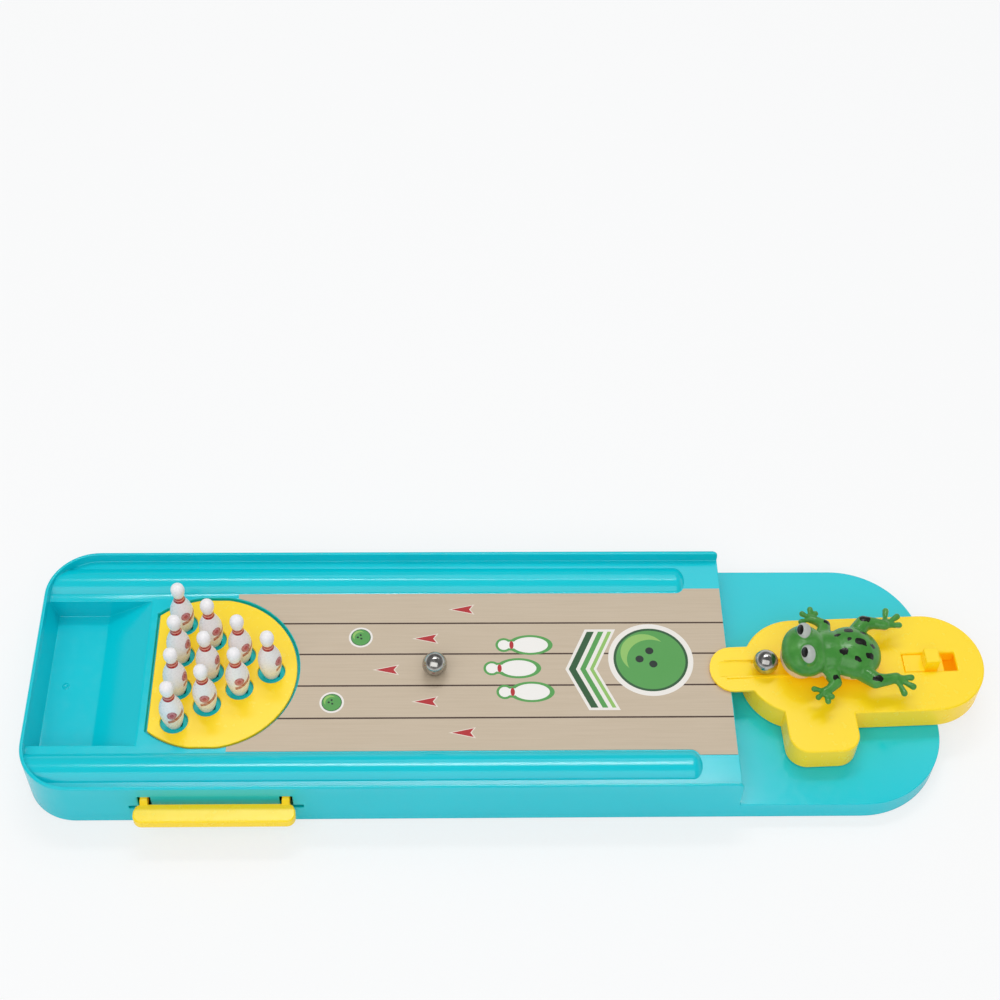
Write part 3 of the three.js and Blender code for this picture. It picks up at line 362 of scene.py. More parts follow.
@dataclass(frozen=True)
class PrintedPinPlastic:
    """White moulded polystyrene with a pad print: red and pink neck bands, a roundel, a stripe.

    Places and sizes are in millimetres in the pin's own frame. A band is its middle height, its
    half height and its shade, and the roundel's rings run from the outermost to the innermost.
    """

    name: str = "printed_white_polystyrene"
    white: str = "#faf8fa"
    red: str = "#b3191f"
    pink: str = "#e8958c"
    mark_red: str = "#b63f49"
    mark_pink: str = "#d98288"
    stripe: str = "#bb5a50"
    belly_radius: float = 4.2
    bands: tuple[tuple[float, float, str], ...] = (
        (18.9, 1.3, "pink"), (17.75, 0.45, "red"), (19.25, 0.36, "red"))
    mark_height: float = 11.0
    mark_rings: tuple[float, float, float] = (1.85, 1.3, 0.75)
    stripe_height: float = 8.0
    stripe_half: float = 0.95
    stripe_rise: float = 0.42
    stripe_middle: float = 1.6
    stripe_reach: float = 3.4
    waver_per_mm: float = 1.4
    waver_mm: float = 0.3
    wear_range: tuple[float, float] = (0.35, 0.6)
    worn_ink: float = 0.75
    roughness: tuple[float, float] = (0.22, 0.34)
    ior: float = 1.59

    def build(self) -> bpy.types.Material:
        """Builds the material, which reads each pin's own place from its own_mm attribute.

        Returns:
            The printed plastic.
        """
        material, tree, shader = start_material(self.name)
        own = add_node(tree, "ShaderNodeAttribute", {"attribute_name": "own_mm"})
        axes = add_node(tree, "ShaderNodeSeparateXYZ", None, {"Vector": own.outputs["Vector"]})
        # The print is laid on by a soft pad, so its edge wavers by a fraction of a millimetre.
        waver = add_node(tree, "ShaderNodeTexNoise",
                         {"Scale": self.waver_per_mm, "Detail": 2.0},
                         {"Vector": own.outputs["Vector"]})
        height = add_node(tree, "ShaderNodeMath", {"operation": "MULTIPLY_ADD", 1: self.waver_mm},
                          {0: waver.outputs["Fac"], 2: axes.outputs["Z"]})
        shades = {"red": self.red, "pink": self.pink}
        colour: Socket | None = None
        for middle, half, shade in self.bands:
            band = add_node(tree, "ShaderNodeMath", {"operation": "COMPARE", 1: middle, 2: half},
                            {0: height.outputs["Value"]})
            layer = add_node(tree, "ShaderNodeMix",
                             {"data_type": "RGBA", 6: linear(self.white),
                              7: linear(shades[shade])}, {0: band.outputs["Value"]})
            if colour:
                tree.links.new(colour, layer.inputs[6])
            colour = layer.outputs[2]
        colour = self.belly_print(tree, axes, waver.outputs["Fac"], colour)
        tree.links.new(colour, shader.inputs["Base Color"])
        smear = add_node(tree, "ShaderNodeMapRange",
                         {"To Min": self.roughness[0], "To Max": self.roughness[1]},
                         {"Value": waver.outputs["Fac"]})
        tree.links.new(smear.outputs["Result"], shader.inputs["Roughness"])
        shader.inputs["IOR"].default_value = self.ior
        return material

    def belly_print(self, tree: Tree, axes: bpy.types.Node, waver: Socket,
                    colour: Socket) -> Socket:
        """Prints the roundel and the stripe on the unrolled belly: arc across, height up.

        Args:
            tree: the material's node tree.
            axes: the node that splits the pin's own place.
            waver: a noise that wears the ink.
            colour: the colour so far.

        Returns:
            The colour with the print.
        """
        turn = add_node(tree, "ShaderNodeMath", {"operation": "ARCTAN2"},
                        {0: axes.outputs["Y"], 1: axes.outputs["X"]})
        arc = add_node(tree, "ShaderNodeMath", {"operation": "MULTIPLY", 1: self.belly_radius},
                       {0: turn.outputs["Value"]})
        flat = add_node(tree, "ShaderNodeCombineXYZ", None,
                        {"X": arc.outputs["Value"], "Y": axes.outputs["Z"]})
        reach = add_node(tree, "ShaderNodeVectorMath",
                         {"operation": "DISTANCE", 1: (0.0, self.mark_height, 0.0)},
                         {0: flat.outputs["Vector"]})
        ink = add_node(tree, "ShaderNodeMapRange",
                       {"From Min": self.wear_range[0], "From Max": self.wear_range[1],
                        "To Min": 1.0, "To Max": self.worn_ink}, {"Value": waver})
        shades = (self.mark_red, self.mark_pink, self.mark_red)
        for radius, shade in zip(self.mark_rings, shades):
            disc = add_node(tree, "ShaderNodeMath", {"operation": "LESS_THAN", 1: radius},
                            {0: reach.outputs["Value"]})
            worn = add_node(tree, "ShaderNodeMath", {"operation": "MULTIPLY"},
                            {0: disc.outputs["Value"], 1: ink.outputs["Result"]})
            layer = add_node(tree, "ShaderNodeMix", {"data_type": "RGBA", 7: linear(shade)},
                             {0: worn.outputs["Value"], 6: colour})
            colour = layer.outputs[2]
        rise = add_node(tree, "ShaderNodeMath",
                        {"operation": "MULTIPLY_ADD", 1: -self.stripe_rise},
                        {0: arc.outputs["Value"], 2: axes.outputs["Z"]})
        line = add_node(tree, "ShaderNodeMath", {"operation": "COMPARE", 1: self.stripe_height,
                                                 2: self.stripe_half},
                        {0: rise.outputs["Value"]})
        span = add_node(tree, "ShaderNodeMath", {"operation": "COMPARE", 1: self.stripe_middle,
                                                 2: self.stripe_reach},
                        {0: arc.outputs["Value"]})
        strip = add_node(tree, "ShaderNodeMath", {"operation": "MULTIPLY"},
                         {0: line.outputs["Value"], 1: span.outputs["Value"]})
        worn = add_node(tree, "ShaderNodeMath", {"operation": "MULTIPLY"},
                        {0: strip.outputs["Value"], 1: ink.outputs["Result"]})
        layer = add_node(tree, "ShaderNodeMix", {"data_type": "RGBA", 7: linear(self.stripe)},
                         {0: worn.outputs["Value"], 6: colour})
        return layer.outputs[2]


def start_material(name: str) -> tuple[bpy.types.Material, Tree, bpy.types.Node]:
    """Starts a material with one Principled shader.

    Args:
        name: the material's plain name.

    Returns:
        The material, its node tree and its shader.
    """
    material = bpy.data.materials.new(name)
    material.use_nodes = True
    tree = material.node_tree
    tree.nodes.clear()
    shader = add_node(tree, "ShaderNodeBsdfPrincipled")
    add_node(tree, "ShaderNodeOutputMaterial", None, {"Surface": shader.outputs["BSDF"]})
    return material, tree, shader


@dataclass(frozen=True)
class LanePrint:
    """Satin printed film: pale boards, dark joints, red darts and a plain green bowling motif.

    Places and sizes are in millimetres in the tray's place. A chevron strip is its middle, its
    half width, its reach to each side and its shade. A ball is its centre and its radius, and each
    of its discs is an offset and a radius, in shares of the ball's radius, and a shade. ball_edge
    is the white disc below them, a share of that radius and a margin. A pin is the middle of its
    belly, and each of its ovals is an offset along the lane, the radius across and the length as a
    share of the width.
    """

    name: str = "printed_satin_film"
    board: str = "#cfbea7"
    board_dark: str = "#cab9a1"
    joint: str = "#4a352b"
    dart: str = "#bb262c"
    green: str = "#57a552"
    lime: str = "#94c768"
    deep: str = "#2c5f37"
    paper: str = "#f3efe9"
    dart_edge: str = "#ebe0d3"
    pin_white: str = "#f7f5f1"
    hole: str = "#20302a"
    joint_places: tuple[float, ...] = (6.7, 20.1)
    joint_half: float = 0.33
    dart_places: tuple[tuple[float, float], ...] = ((121.7, 0.0), (135.8, 13.4), (149.0, 26.2))
    dart_length: float = 7.7
    dart_half: float = 1.8
    dart_notch: float = 6.45
    tail_slope: float = 0.68
    edge: float = 0.45
    tip_edge: float = 2.7
    chevron_slope: float = 0.45
    strips: tuple[tuple[float, float, float, str], ...] = (
        (195.5, 5.6, 17.2, "paper"), (192.4, 1.3, 16.2, "deep"), (196.2, 1.0, 16.2, "green"),
        (199.4, 0.7, 16.2, "lime"))
    balls: tuple[tuple[tuple[float, float], float], ...] = (
        ((221.0, 4.0), 13.5), ((116.0, 14.0), 3.6), ((106.5, -13.6), 3.6))
    ball_edge: tuple[float, float] = (1.12, 0.3)
    ball_discs: tuple[tuple[float, float, float, str], ...] = (
        (0.0, 0.0, 1.0, "deep"), (0.0, 0.0, 0.93, "green"), (-0.18, 0.2, 0.62, "lime"),
        (0.02, -0.02, 0.66, "green"), (-0.3, 0.02, 0.11, "hole"), (-0.02, 0.28, 0.11, "hole"),
        (0.06, -0.14, 0.11, "hole"))
    pins: tuple[tuple[float, float], ...] = ((177.5, -9.5), (173.0, 0.5), (177.5, 10.5))
    pin_edge: float = 0.9
    pin_ovals: tuple[tuple[float, float, float], ...] = (
        (0.0, 3.4, 1.9), (-6.6, 1.5, 2.2), (-9.6, 2.1, 1.0))
    pin_band: tuple[float, float, float] = (-6.8, 1.7, 0.45)
    grain_scale: tuple[float, float, float] = (0.05, 1.8, 1.0)
    grain_range: tuple[float, float] = (0.35, 0.7)
    wave_per_mm: float = 0.06
    wave_depth_mm: float = 0.05
    wave_strength: float = 0.12
    sheen: tuple[float, float] = (0.42, 0.62)
    ior: float = 1.48

    def build(self) -> bpy.types.Material:
        """Builds the material.

        Returns:
            The printed film.
        """
        material, tree, shader = start_material(self.name)
        place = tray_place().look_up(tree)
        axes = add_node(tree, "ShaderNodeSeparateXYZ", None, {"Vector": place})
        across = add_node(tree, "ShaderNodeMath", {"operation": "ABSOLUTE"},
                          {0: axes.outputs["Y"]})
        colour = self.boards(tree, place, across.outputs["Value"])
        for tip, middle in self.dart_places:
            colour = self.dart_mark(tree, colour, axes.outputs["X"], across.outputs["Value"],
                                    tip, middle)
        colour = self.chevrons(tree, colour, axes.outputs["X"], across.outputs["Value"])
        for centre, radius in self.balls:
            colour = self.ball_motif(tree, colour, place, centre, radius)
        for centre in self.pins:
            colour = self.pin_motif(tree, colour, place, centre)
        tree.links.new(colour, shader.inputs["Base Color"])
        # The film is laid by hand, so its satin sheen waves a little.
        wave = add_node(tree, "ShaderNodeTexNoise", {"Scale": self.wave_per_mm, "Detail": 2.0},
                        {"Vector": place})
        sheen = add_node(tree, "ShaderNodeMapRange",
                         {"To Min": self.sheen[0], "To Max": self.sheen[1]},
                         {"Value": wave.outputs["Fac"]})
        tree.links.new(sheen.outputs["Result"], shader.inputs["Roughness"])
        bump = add_node(tree, "ShaderNodeBump",
                        {"Strength": self.wave_strength,
                         "Distance": self.wave_depth_mm * MM},
                        {"Height": wave.outputs["Fac"]})
        tree.links.new(bump.outputs["Normal"], shader.inputs["Normal"])
        shader.inputs["IOR"].default_value = self.ior
        return material

    def boards(self, tree: Tree, place: Socket, across: Socket) -> Socket:
        """Draws the boards with their grain and the dark joints between them.

        Args:
            tree: the material's node tree.
            place: the place in millimetres.
            across: the distance from the lane's centre line.

        Returns:
            The colour so far.
        """
        # Printed wood grain: streaks about 20 mm long and half a millimetre wide.
        stretch = add_node(tree, "ShaderNodeMapping", {"Scale": self.grain_scale},
                           {"Vector": place})
        grain = add_node(tree, "ShaderNodeTexNoise", {"Scale": 1.0, "Detail": 5.0},
                         {"Vector": stretch.outputs["Vector"]})
        tone = add_node(tree, "ShaderNodeMapRange",
                        {"From Min": self.grain_range[0], "From Max": self.grain_range[1]},
                        {"Value": grain.outputs["Fac"]})
        wood = add_node(tree, "ShaderNodeMix", {"data_type": "RGBA", 6: linear(self.board),
                                                7: linear(self.board_dark)},
                        {0: tone.outputs["Result"]})
        colour = wood.outputs[2]
        for middle in self.joint_places:
            line = add_node(tree, "ShaderNodeMath", {"operation": "COMPARE", 1: middle,
                                                     2: self.joint_half}, {0: across})
            drawn = add_node(tree, "ShaderNodeMix", {"data_type": "RGBA", 7: linear(self.joint)},
                             {0: line.outputs["Value"], 6: colour})
            colour = drawn.outputs[2]
        return colour

    def dart_mark(self, tree: Tree, colour: Socket, along: Socket, across: Socket, tip: float,
                  middle: float) -> Socket:
        """Draws a red aiming dart with a white edge, on both sides of the centre line.

        Args:
            tree: the material's node tree.
            colour: the colour so far.
            along: the distance along the tray.
            across: the distance from the lane's centre line.
            tip: where the dart's point is, along the tray.
            middle: the dart's own line, from the centre line.

        Returns:
            The colour so far.
        """
        offset = add_node(tree, "ShaderNodeMath", {"operation": "SUBTRACT", 1: middle},
                          {0: across})
        side = add_node(tree, "ShaderNodeMath", {"operation": "ABSOLUTE"},
                        {0: offset.outputs["Value"]})
        slope = self.dart_length / self.dart_half
        nose = add_node(tree, "ShaderNodeMath", {"operation": "MULTIPLY_ADD", 1: -slope},
                        {0: side.outputs["Value"], 2: along})
        tail = add_node(tree, "ShaderNodeMath",
                        {"operation": "MULTIPLY_ADD", 1: -self.tail_slope},
                        {0: side.outputs["Value"], 2: along})
        notch = tip + self.dart_notch
        for grow, shade in ((self.edge, self.dart_edge), (0.0, self.dart)):
            front = add_node(tree, "ShaderNodeMath",
                             {"operation": "GREATER_THAN", 1: tip - grow * self.tip_edge},
                             {0: nose.outputs["Value"]})
            back = add_node(tree, "ShaderNodeMath", {"operation": "LESS_THAN", 1: notch + grow},
                            {0: tail.outputs["Value"]})
            mask = add_node(tree, "ShaderNodeMath", {"operation": "MULTIPLY"},
                            {0: front.outputs["Value"], 1: back.outputs["Value"]})
            drawn = add_node(tree, "ShaderNodeMix", {"data_type": "RGBA", 7: linear(shade)},
                             {0: mask.outputs["Value"], 6: colour})
            colour = drawn.outputs[2]
        return colour

    def shades(self) -> dict[str, str]:
        """Returns the colours that the strips and the discs name."""
        return {"paper": self.paper, "deep": self.deep, "green": self.green, "lime": self.lime,
                "hole": self.hole}

    def chevrons(self, tree: Tree, colour: Socket, along: Socket, across: Socket) -> Socket:
        """Draws three green chevrons on a pale ground, pointing down the lane.

        Args:
            tree: the material's node tree.
            colour: the colour so far.
            along: the distance along the tray.
            across: the distance from the lane's centre line.

        Returns:
            The colour so far.
        """
        lean = add_node(tree, "ShaderNodeMath",
                        {"operation": "MULTIPLY_ADD", 1: -self.chevron_slope},
                        {0: across, 2: along})
        shades = self.shades()
        for middle, half, reach, shade in self.strips:
            strip = add_node(tree, "ShaderNodeMath", {"operation": "COMPARE", 1: middle, 2: half},
                             {0: lean.outputs["Value"]})
            near = add_node(tree, "ShaderNodeMath", {"operation": "LESS_THAN", 1: reach},
                            {0: across})
            mask = add_node(tree, "ShaderNodeMath", {"operation": "MULTIPLY"},
                            {0: strip.outputs["Value"], 1: near.outputs["Value"]})
            drawn = add_node(tree, "ShaderNodeMix",
                             {"data_type": "RGBA", 7: linear(shades[shade])},
                             {0: mask.outputs["Value"], 6: colour})
            colour = drawn.outputs[2]
        return colour

    def disc(self, tree: Tree, colour: Socket, place: Socket, centre: tuple[float, float],
             radius: float, shade: str, stretch: float = 1.0) -> Socket:
        """Draws a disc, or an oval that is longer along the lane.

        Args:
            tree: the material's node tree.
            colour: the colour so far.
            place: the place in millimetres.
            centre: the disc's centre, along and across.
            radius: the radius across the lane.
            shade: the disc's colour.
            stretch: the length along the lane as a share of the width.

        Returns:
            The colour so far.
        """
        settings = {"vector_type": "TEXTURE", "Location": (centre[0], centre[1], 0.0),
                    "Scale": (stretch, 1.0, TALL)}
        local = add_node(tree, "ShaderNodeMapping", settings, {"Vector": place})
        reach = add_node(tree, "ShaderNodeVectorMath", {"operation": "LENGTH"},
                         {0: local.outputs["Vector"]})
        mask = add_node(tree, "ShaderNodeMath", {"operation": "LESS_THAN", 1: radius},
                        {0: reach.outputs["Value"]})
        drawn = add_node(tree, "ShaderNodeMix", {"data_type": "RGBA", 7: linear(shade)},
                         {0: mask.outputs["Value"], 6: colour})
        return drawn.outputs[2]

    def ball_motif(self, tree: Tree, colour: Socket, place: Socket,
                   centre: tuple[float, float], radius: float) -> Socket:
        """Draws a green ball with a white edge, a pale glint and three finger holes.

        Args:
            tree: the material's node tree.
            colour: the colour so far.
            place: the place in millimetres.
            centre: the ball's centre, along and across.
            radius: the green disc's radius.

        Returns:
            The colour so far.
        """
        x, y = centre
        grow, margin = self.ball_edge
        colour = self.disc(tree, colour, place, centre, radius * grow + margin, self.paper)
        shades = self.shades()
        for dx, dy, share, shade in self.ball_discs:
            colour = self.disc(tree, colour, place, (x + dx * radius, y + dy * radius),
                               radius * share, shades[shade])
        return colour

    def pin_motif(self, tree: Tree, colour: Socket, place: Socket,
                  centre: tuple[float, float]) -> Socket:
        """Draws a white pin with a green edge and a red band, its head towards the ball pit.

        Args:
            tree: the material's node tree.
            colour: the colour so far.
            place: the place in millimetres.
            centre: the middle of the pin's belly, along and across.

        Returns:
            The colour so far.
        """
        # Belly, neck and head are drawn with the edge added first, and then in white.
        x, y = centre
        for grow, shade in ((self.pin_edge, self.green), (0.0, self.pin_white)):
            for offset, radius, stretch in self.pin_ovals:
                colour = self.disc(tree, colour, place, (x + offset, y), radius + grow, shade,
                                   stretch)
        offset, radius, stretch = self.pin_band
        return self.disc(tree, colour, place, (x + offset, y), radius, self.dart, stretch)


@dataclass(frozen=True)
class FrogPaint:
    """Hand-painted glossy enamel on soft PVC: leaf green with black spots, cream lips, eyes.

    Places and sizes are in millimetres in the launcher's place. A spot is its centre and radius.
    The lips' edge climbs from one height to the other over the lip_span, and lies lower by
    belly_drop behind the belly_span. lightest is the largest share of the light green, and
    dab_fade is where a spot's edge starts and ends, in radii.
    """

    name: str = "glossy_enamel_on_soft_vinyl"
    green: str = "#418d38"
    light: str = "#60a852"
    spot: str = "#141712"
    cream: str = "#ecc9a0"
    eye_white: str = "#b3bab4"
    spots: tuple[tuple[float, float, float, float], ...] = (
        (12.5, 4.3, 33.4, 1.05), (16.6, 6.3, 32.8, 1.35), (22.0, 5.4, 31.9, 1.0),
        (16.0, 1.6, 34.0, 0.8), (19.8, 0.6, 33.6, 1.75), (24.6, -0.3, 32.2, 0.85),
        (13.2, -3.0, 33.5, 1.45), (17.9, -5.9, 32.4, 1.05), (22.8, -4.4, 31.9, 1.4),
        (24.3, 12.9, 30.2, 1.7), (24.2, -12.9, 30.0, 1.4), (10.9, 12.3, 28.9, 1.3),
        (9.4, -11.3, 29.2, 1.1))
    eye: tuple[float, float, float] = (-0.35, 5.15, 36.2)
    eye_size: tuple[float, float, float] = (2.45, 3.75, 3.1)
    pupil: tuple[float, float, float] = (-1.65, 4.8, 36.5)
    pupil_size: tuple[float, float, float] = (1.1, 2.1, 2.2)
    pupil_black: str = "#0d0f0d"
    spot_shape: tuple[float, float, float] = (1.25, 0.9, 2.4)
    spot_wobble_mm: float = 2.0
    lip_span: tuple[float, float] = (-6.0, 0.0)
    lip_heights: tuple[float, float] = (26.4, 28.1)
    belly_span: tuple[float, float] = (5.0, 11.0)
    belly_drop: float = 0.9
    edge_waver: float = 0.9
    edge_fade: tuple[float, float] = (0.3, 0.6)
    body_half: float = 10.2
    dab_fade: tuple[float, float] = (1.04, 0.96)
    tone_per_mm: float = 0.22
    tone_range: tuple[float, float] = (0.4, 0.75)
    lightest: float = 0.6
    wobble_per_mm: float = 0.5
    brush_per_mm: float = 0.9
    brush_depth_mm: float = 0.2
    brush_strength: float = 0.4
    shine: tuple[float, float] = (0.14, 0.28)
    ior: float = 1.48

    def build(self) -> bpy.types.Material:
        """Builds the material in the launcher's own millimetres.

        Returns:
            The painted enamel.
        """
        material, tree, shader = start_material(self.name)
        place = launcher_place().look_up(tree)
        axes = add_node(tree, "ShaderNodeSeparateXYZ", None, {"Vector": place})
        tone = add_node(tree, "ShaderNodeTexNoise", {"Scale": self.tone_per_mm, "Detail": 3.0},
                        {"Vector": place})
        mixed = add_node(tree, "ShaderNodeMapRange",
                         {"From Min": self.tone_range[0], "From Max": self.tone_range[1],
                          "To Max": self.lightest}, {"Value": tone.outputs["Fac"]})
        skin = add_node(tree, "ShaderNodeMix", {"data_type": "RGBA", 6: linear(self.green),
                                                7: linear(self.light)},
                        {0: mixed.outputs["Result"]})
        colour = self.cream_underside(tree, skin.outputs[2], axes, tone.outputs["Fac"])
        # A brush leaves spots that aren't quite round.
        wobble = add_node(tree, "ShaderNodeTexNoise",
                          {"Scale": self.wobble_per_mm, "Detail": 1.0}, {"Vector": place})
        offset = add_node(tree, "ShaderNodeVectorMath",
                          {"operation": "SUBTRACT", 1: (0.5, 0.5, 0.5)},
                          {0: wobble.outputs["Color"]})
        moved = add_node(tree, "ShaderNodeVectorMath",
                         {"operation": "MULTIPLY_ADD", 1: (self.spot_wobble_mm,) * 3},
                         {0: offset.outputs["Vector"], 2: place})
        for x, y, z, radius in self.spots:
            colour = self.dab(tree, colour, moved.outputs["Vector"], (x, y, z), radius,
                              self.spot, self.spot_shape)
        for side in SIDES:
            for (x, y, z), size, shade in ((self.eye, self.eye_size, self.eye_white),
                                           (self.pupil, self.pupil_size, self.pupil_black)):
                colour = self.dab(tree, colour, place, (x, y * side, z), 1.0, shade, size)
        tree.links.new(colour, shader.inputs["Base Color"])
        # Brushed enamel stands in faint ridges and pools, with a wet shine.
        brush = add_node(tree, "ShaderNodeTexNoise", {"Scale": self.brush_per_mm, "Detail": 2.0},
                         {"Vector": place})
        shine = add_node(tree, "ShaderNodeMapRange",
                         {"To Min": self.shine[0], "To Max": self.shine[1]},
                         {"Value": brush.outputs["Fac"]})
        tree.links.new(shine.outputs["Result"], shader.inputs["Roughness"])
        bump = add_node(tree, "ShaderNodeBump",
                        {"Strength": self.brush_strength,
                         "Distance": self.brush_depth_mm * MM},
                        {"Height": brush.outputs["Fac"]})
        tree.links.new(bump.outputs["Normal"], shader.inputs["Normal"])
        shader.inputs["IOR"].default_value = self.ior
        return material

    def cream_underside(self, tree: Tree, colour: Socket, axes: bpy.types.Node,
                        tone: Socket) -> Socket:
        """Leaves the jaw and the belly cream, up to the lips.

        Args:
            tree: the material's node tree.
            colour: the colour so far.
            axes: the node that splits the place.
            tone: a soft noise that makes the edge hand-painted.

        Returns:
            The colour so far.
        """
        # The lips rise from the snout to the cheeks, and the belly's edge lies lower behind them.
        lips = add_node(tree, "ShaderNodeMapRange",
                        {"From Min": self.lip_span[0], "From Max": self.lip_span[1],
                         "To Min": self.lip_heights[0], "To Max": self.lip_heights[1]},
                        {"Value": axes.outputs["X"]})
        belly = add_node(tree, "ShaderNodeMapRange",
                         {"From Min": self.belly_span[0], "From Max": self.belly_span[1],
                          "To Max": self.belly_drop}, {"Value": axes.outputs["X"]})
        edge = add_node(tree, "ShaderNodeMath", {"operation": "SUBTRACT"},
                        {0: lips.outputs["Result"], 1: belly.outputs["Result"]})
        hand = add_node(tree, "ShaderNodeMath",
                        {"operation": "MULTIPLY_ADD", 1: self.edge_waver},
                        {0: tone, 2: edge.outputs["Value"]})
        rise = add_node(tree, "ShaderNodeMath", {"operation": "SUBTRACT"},
                        {0: hand.outputs["Value"], 1: axes.outputs["Z"]})
        below = add_node(tree, "ShaderNodeMapRange",
                         {"From Min": self.edge_fade[0], "From Max": self.edge_fade[1]},
                         {"Value": rise.outputs["Value"]})
        across = add_node(tree, "ShaderNodeMath", {"operation": "ABSOLUTE"},
                          {0: axes.outputs["Y"]})
        body = add_node(tree, "ShaderNodeMath", {"operation": "LESS_THAN", 1: self.body_half},
                        {0: across.outputs["Value"]})
        mask = add_node(tree, "ShaderNodeMath", {"operation": "MULTIPLY"},
                        {0: below.outputs["Result"], 1: body.outputs["Value"]})
        drawn = add_node(tree, "ShaderNodeMix", {"data_type": "RGBA", 7: linear(self.cream)},
                         {0: mask.outputs["Value"], 6: colour})
        return drawn.outputs[2]

    def dab(self, tree: Tree, colour: Socket, place: Socket,
            centre: tuple[float, float, float], radius: float, shade: str,
            stretch: tuple[float, float, float]) -> Socket:
        """Paints the skin that lies within an oval ball.

        Args:
            tree: the material's node tree.
            colour: the colour so far.
            place: the place in millimetres.
            centre: the ball's centre.
            radius: its radius.
            shade: the paint's colour.
            stretch: its length along each axis, in radii.

        Returns:
            The colour so far.
        """
        settings = {"vector_type": "TEXTURE", "Location": centre, "Scale": stretch}
        local = add_node(tree, "ShaderNodeMapping", settings, {"Vector": place})
        reach = add_node(tree, "ShaderNodeVectorMath", {"operation": "LENGTH"},
                         {0: local.outputs["Vector"]})
        mask = add_node(tree, "ShaderNodeMapRange", {"From Min": radius * self.dab_fade[0],
                                                     "From Max": radius * self.dab_fade[1]},
                        {"Value": reach.outputs["Value"]})
        drawn = add_node(tree, "ShaderNodeMix", {"data_type": "RGBA", 7: linear(shade)},
                         {0: mask.outputs["Result"], 6: colour})
        return drawn.outputs[2]


class Plastic(Enum):
    """The moulding colours of the game."""

    CYAN = MouldedPlastic("cyan_moulded_abs", "#03d1e0", "#02cedd", 0.15,
                          gate_mark=(9.8, -0.3))
    # The yellow's emission is a painted warm glow of bounced light in its shaded faces.
    YELLOW = MouldedPlastic("yellow_moulded_abs", "#f0df18", "#efdd15", 0.24, dust=0.01,
                            painted_warm_glow=0.2)


# ----------------------------------------------------------------------------- pieces


def dress(piece: bpy.types.Object, material: bpy.types.Material) -> None:
    """Gives a piece one material, in place of what it has.

    Args:
        piece: the piece to dress.
        material: its finish.
    """
    piece.data.materials.clear()
    piece.data.materials.append(material)


def make_piece(bm: bmesh.types.BMesh, name: str, material: bpy.types.Material,
               node: str, crease: float) -> bpy.types.Object:
    """Makes a mesh piece that stands for a CAD node and moves with its body.

    Args:
        bm: the shape, in metres in the row frame. It is freed.
        name: the piece's name.
        material: its finish.
        node: the CAD node that it stands for.
        crease: the angle in degrees above which an edge stays sharp.

    Returns:
        The piece.
    """
    mesh = bpy.data.meshes.new(name)
    bm.to_mesh(mesh)
    bm.free()
    mesh.shade_smooth()
    mesh.set_sharp_from_angle(angle=math.radians(crease))
    piece = bpy.data.objects.new(name, mesh)
    bpy.context.scene.collection.objects.link(piece)
    dress(piece, material)
    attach(piece, body_of(node))
    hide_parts(node)
    return piece


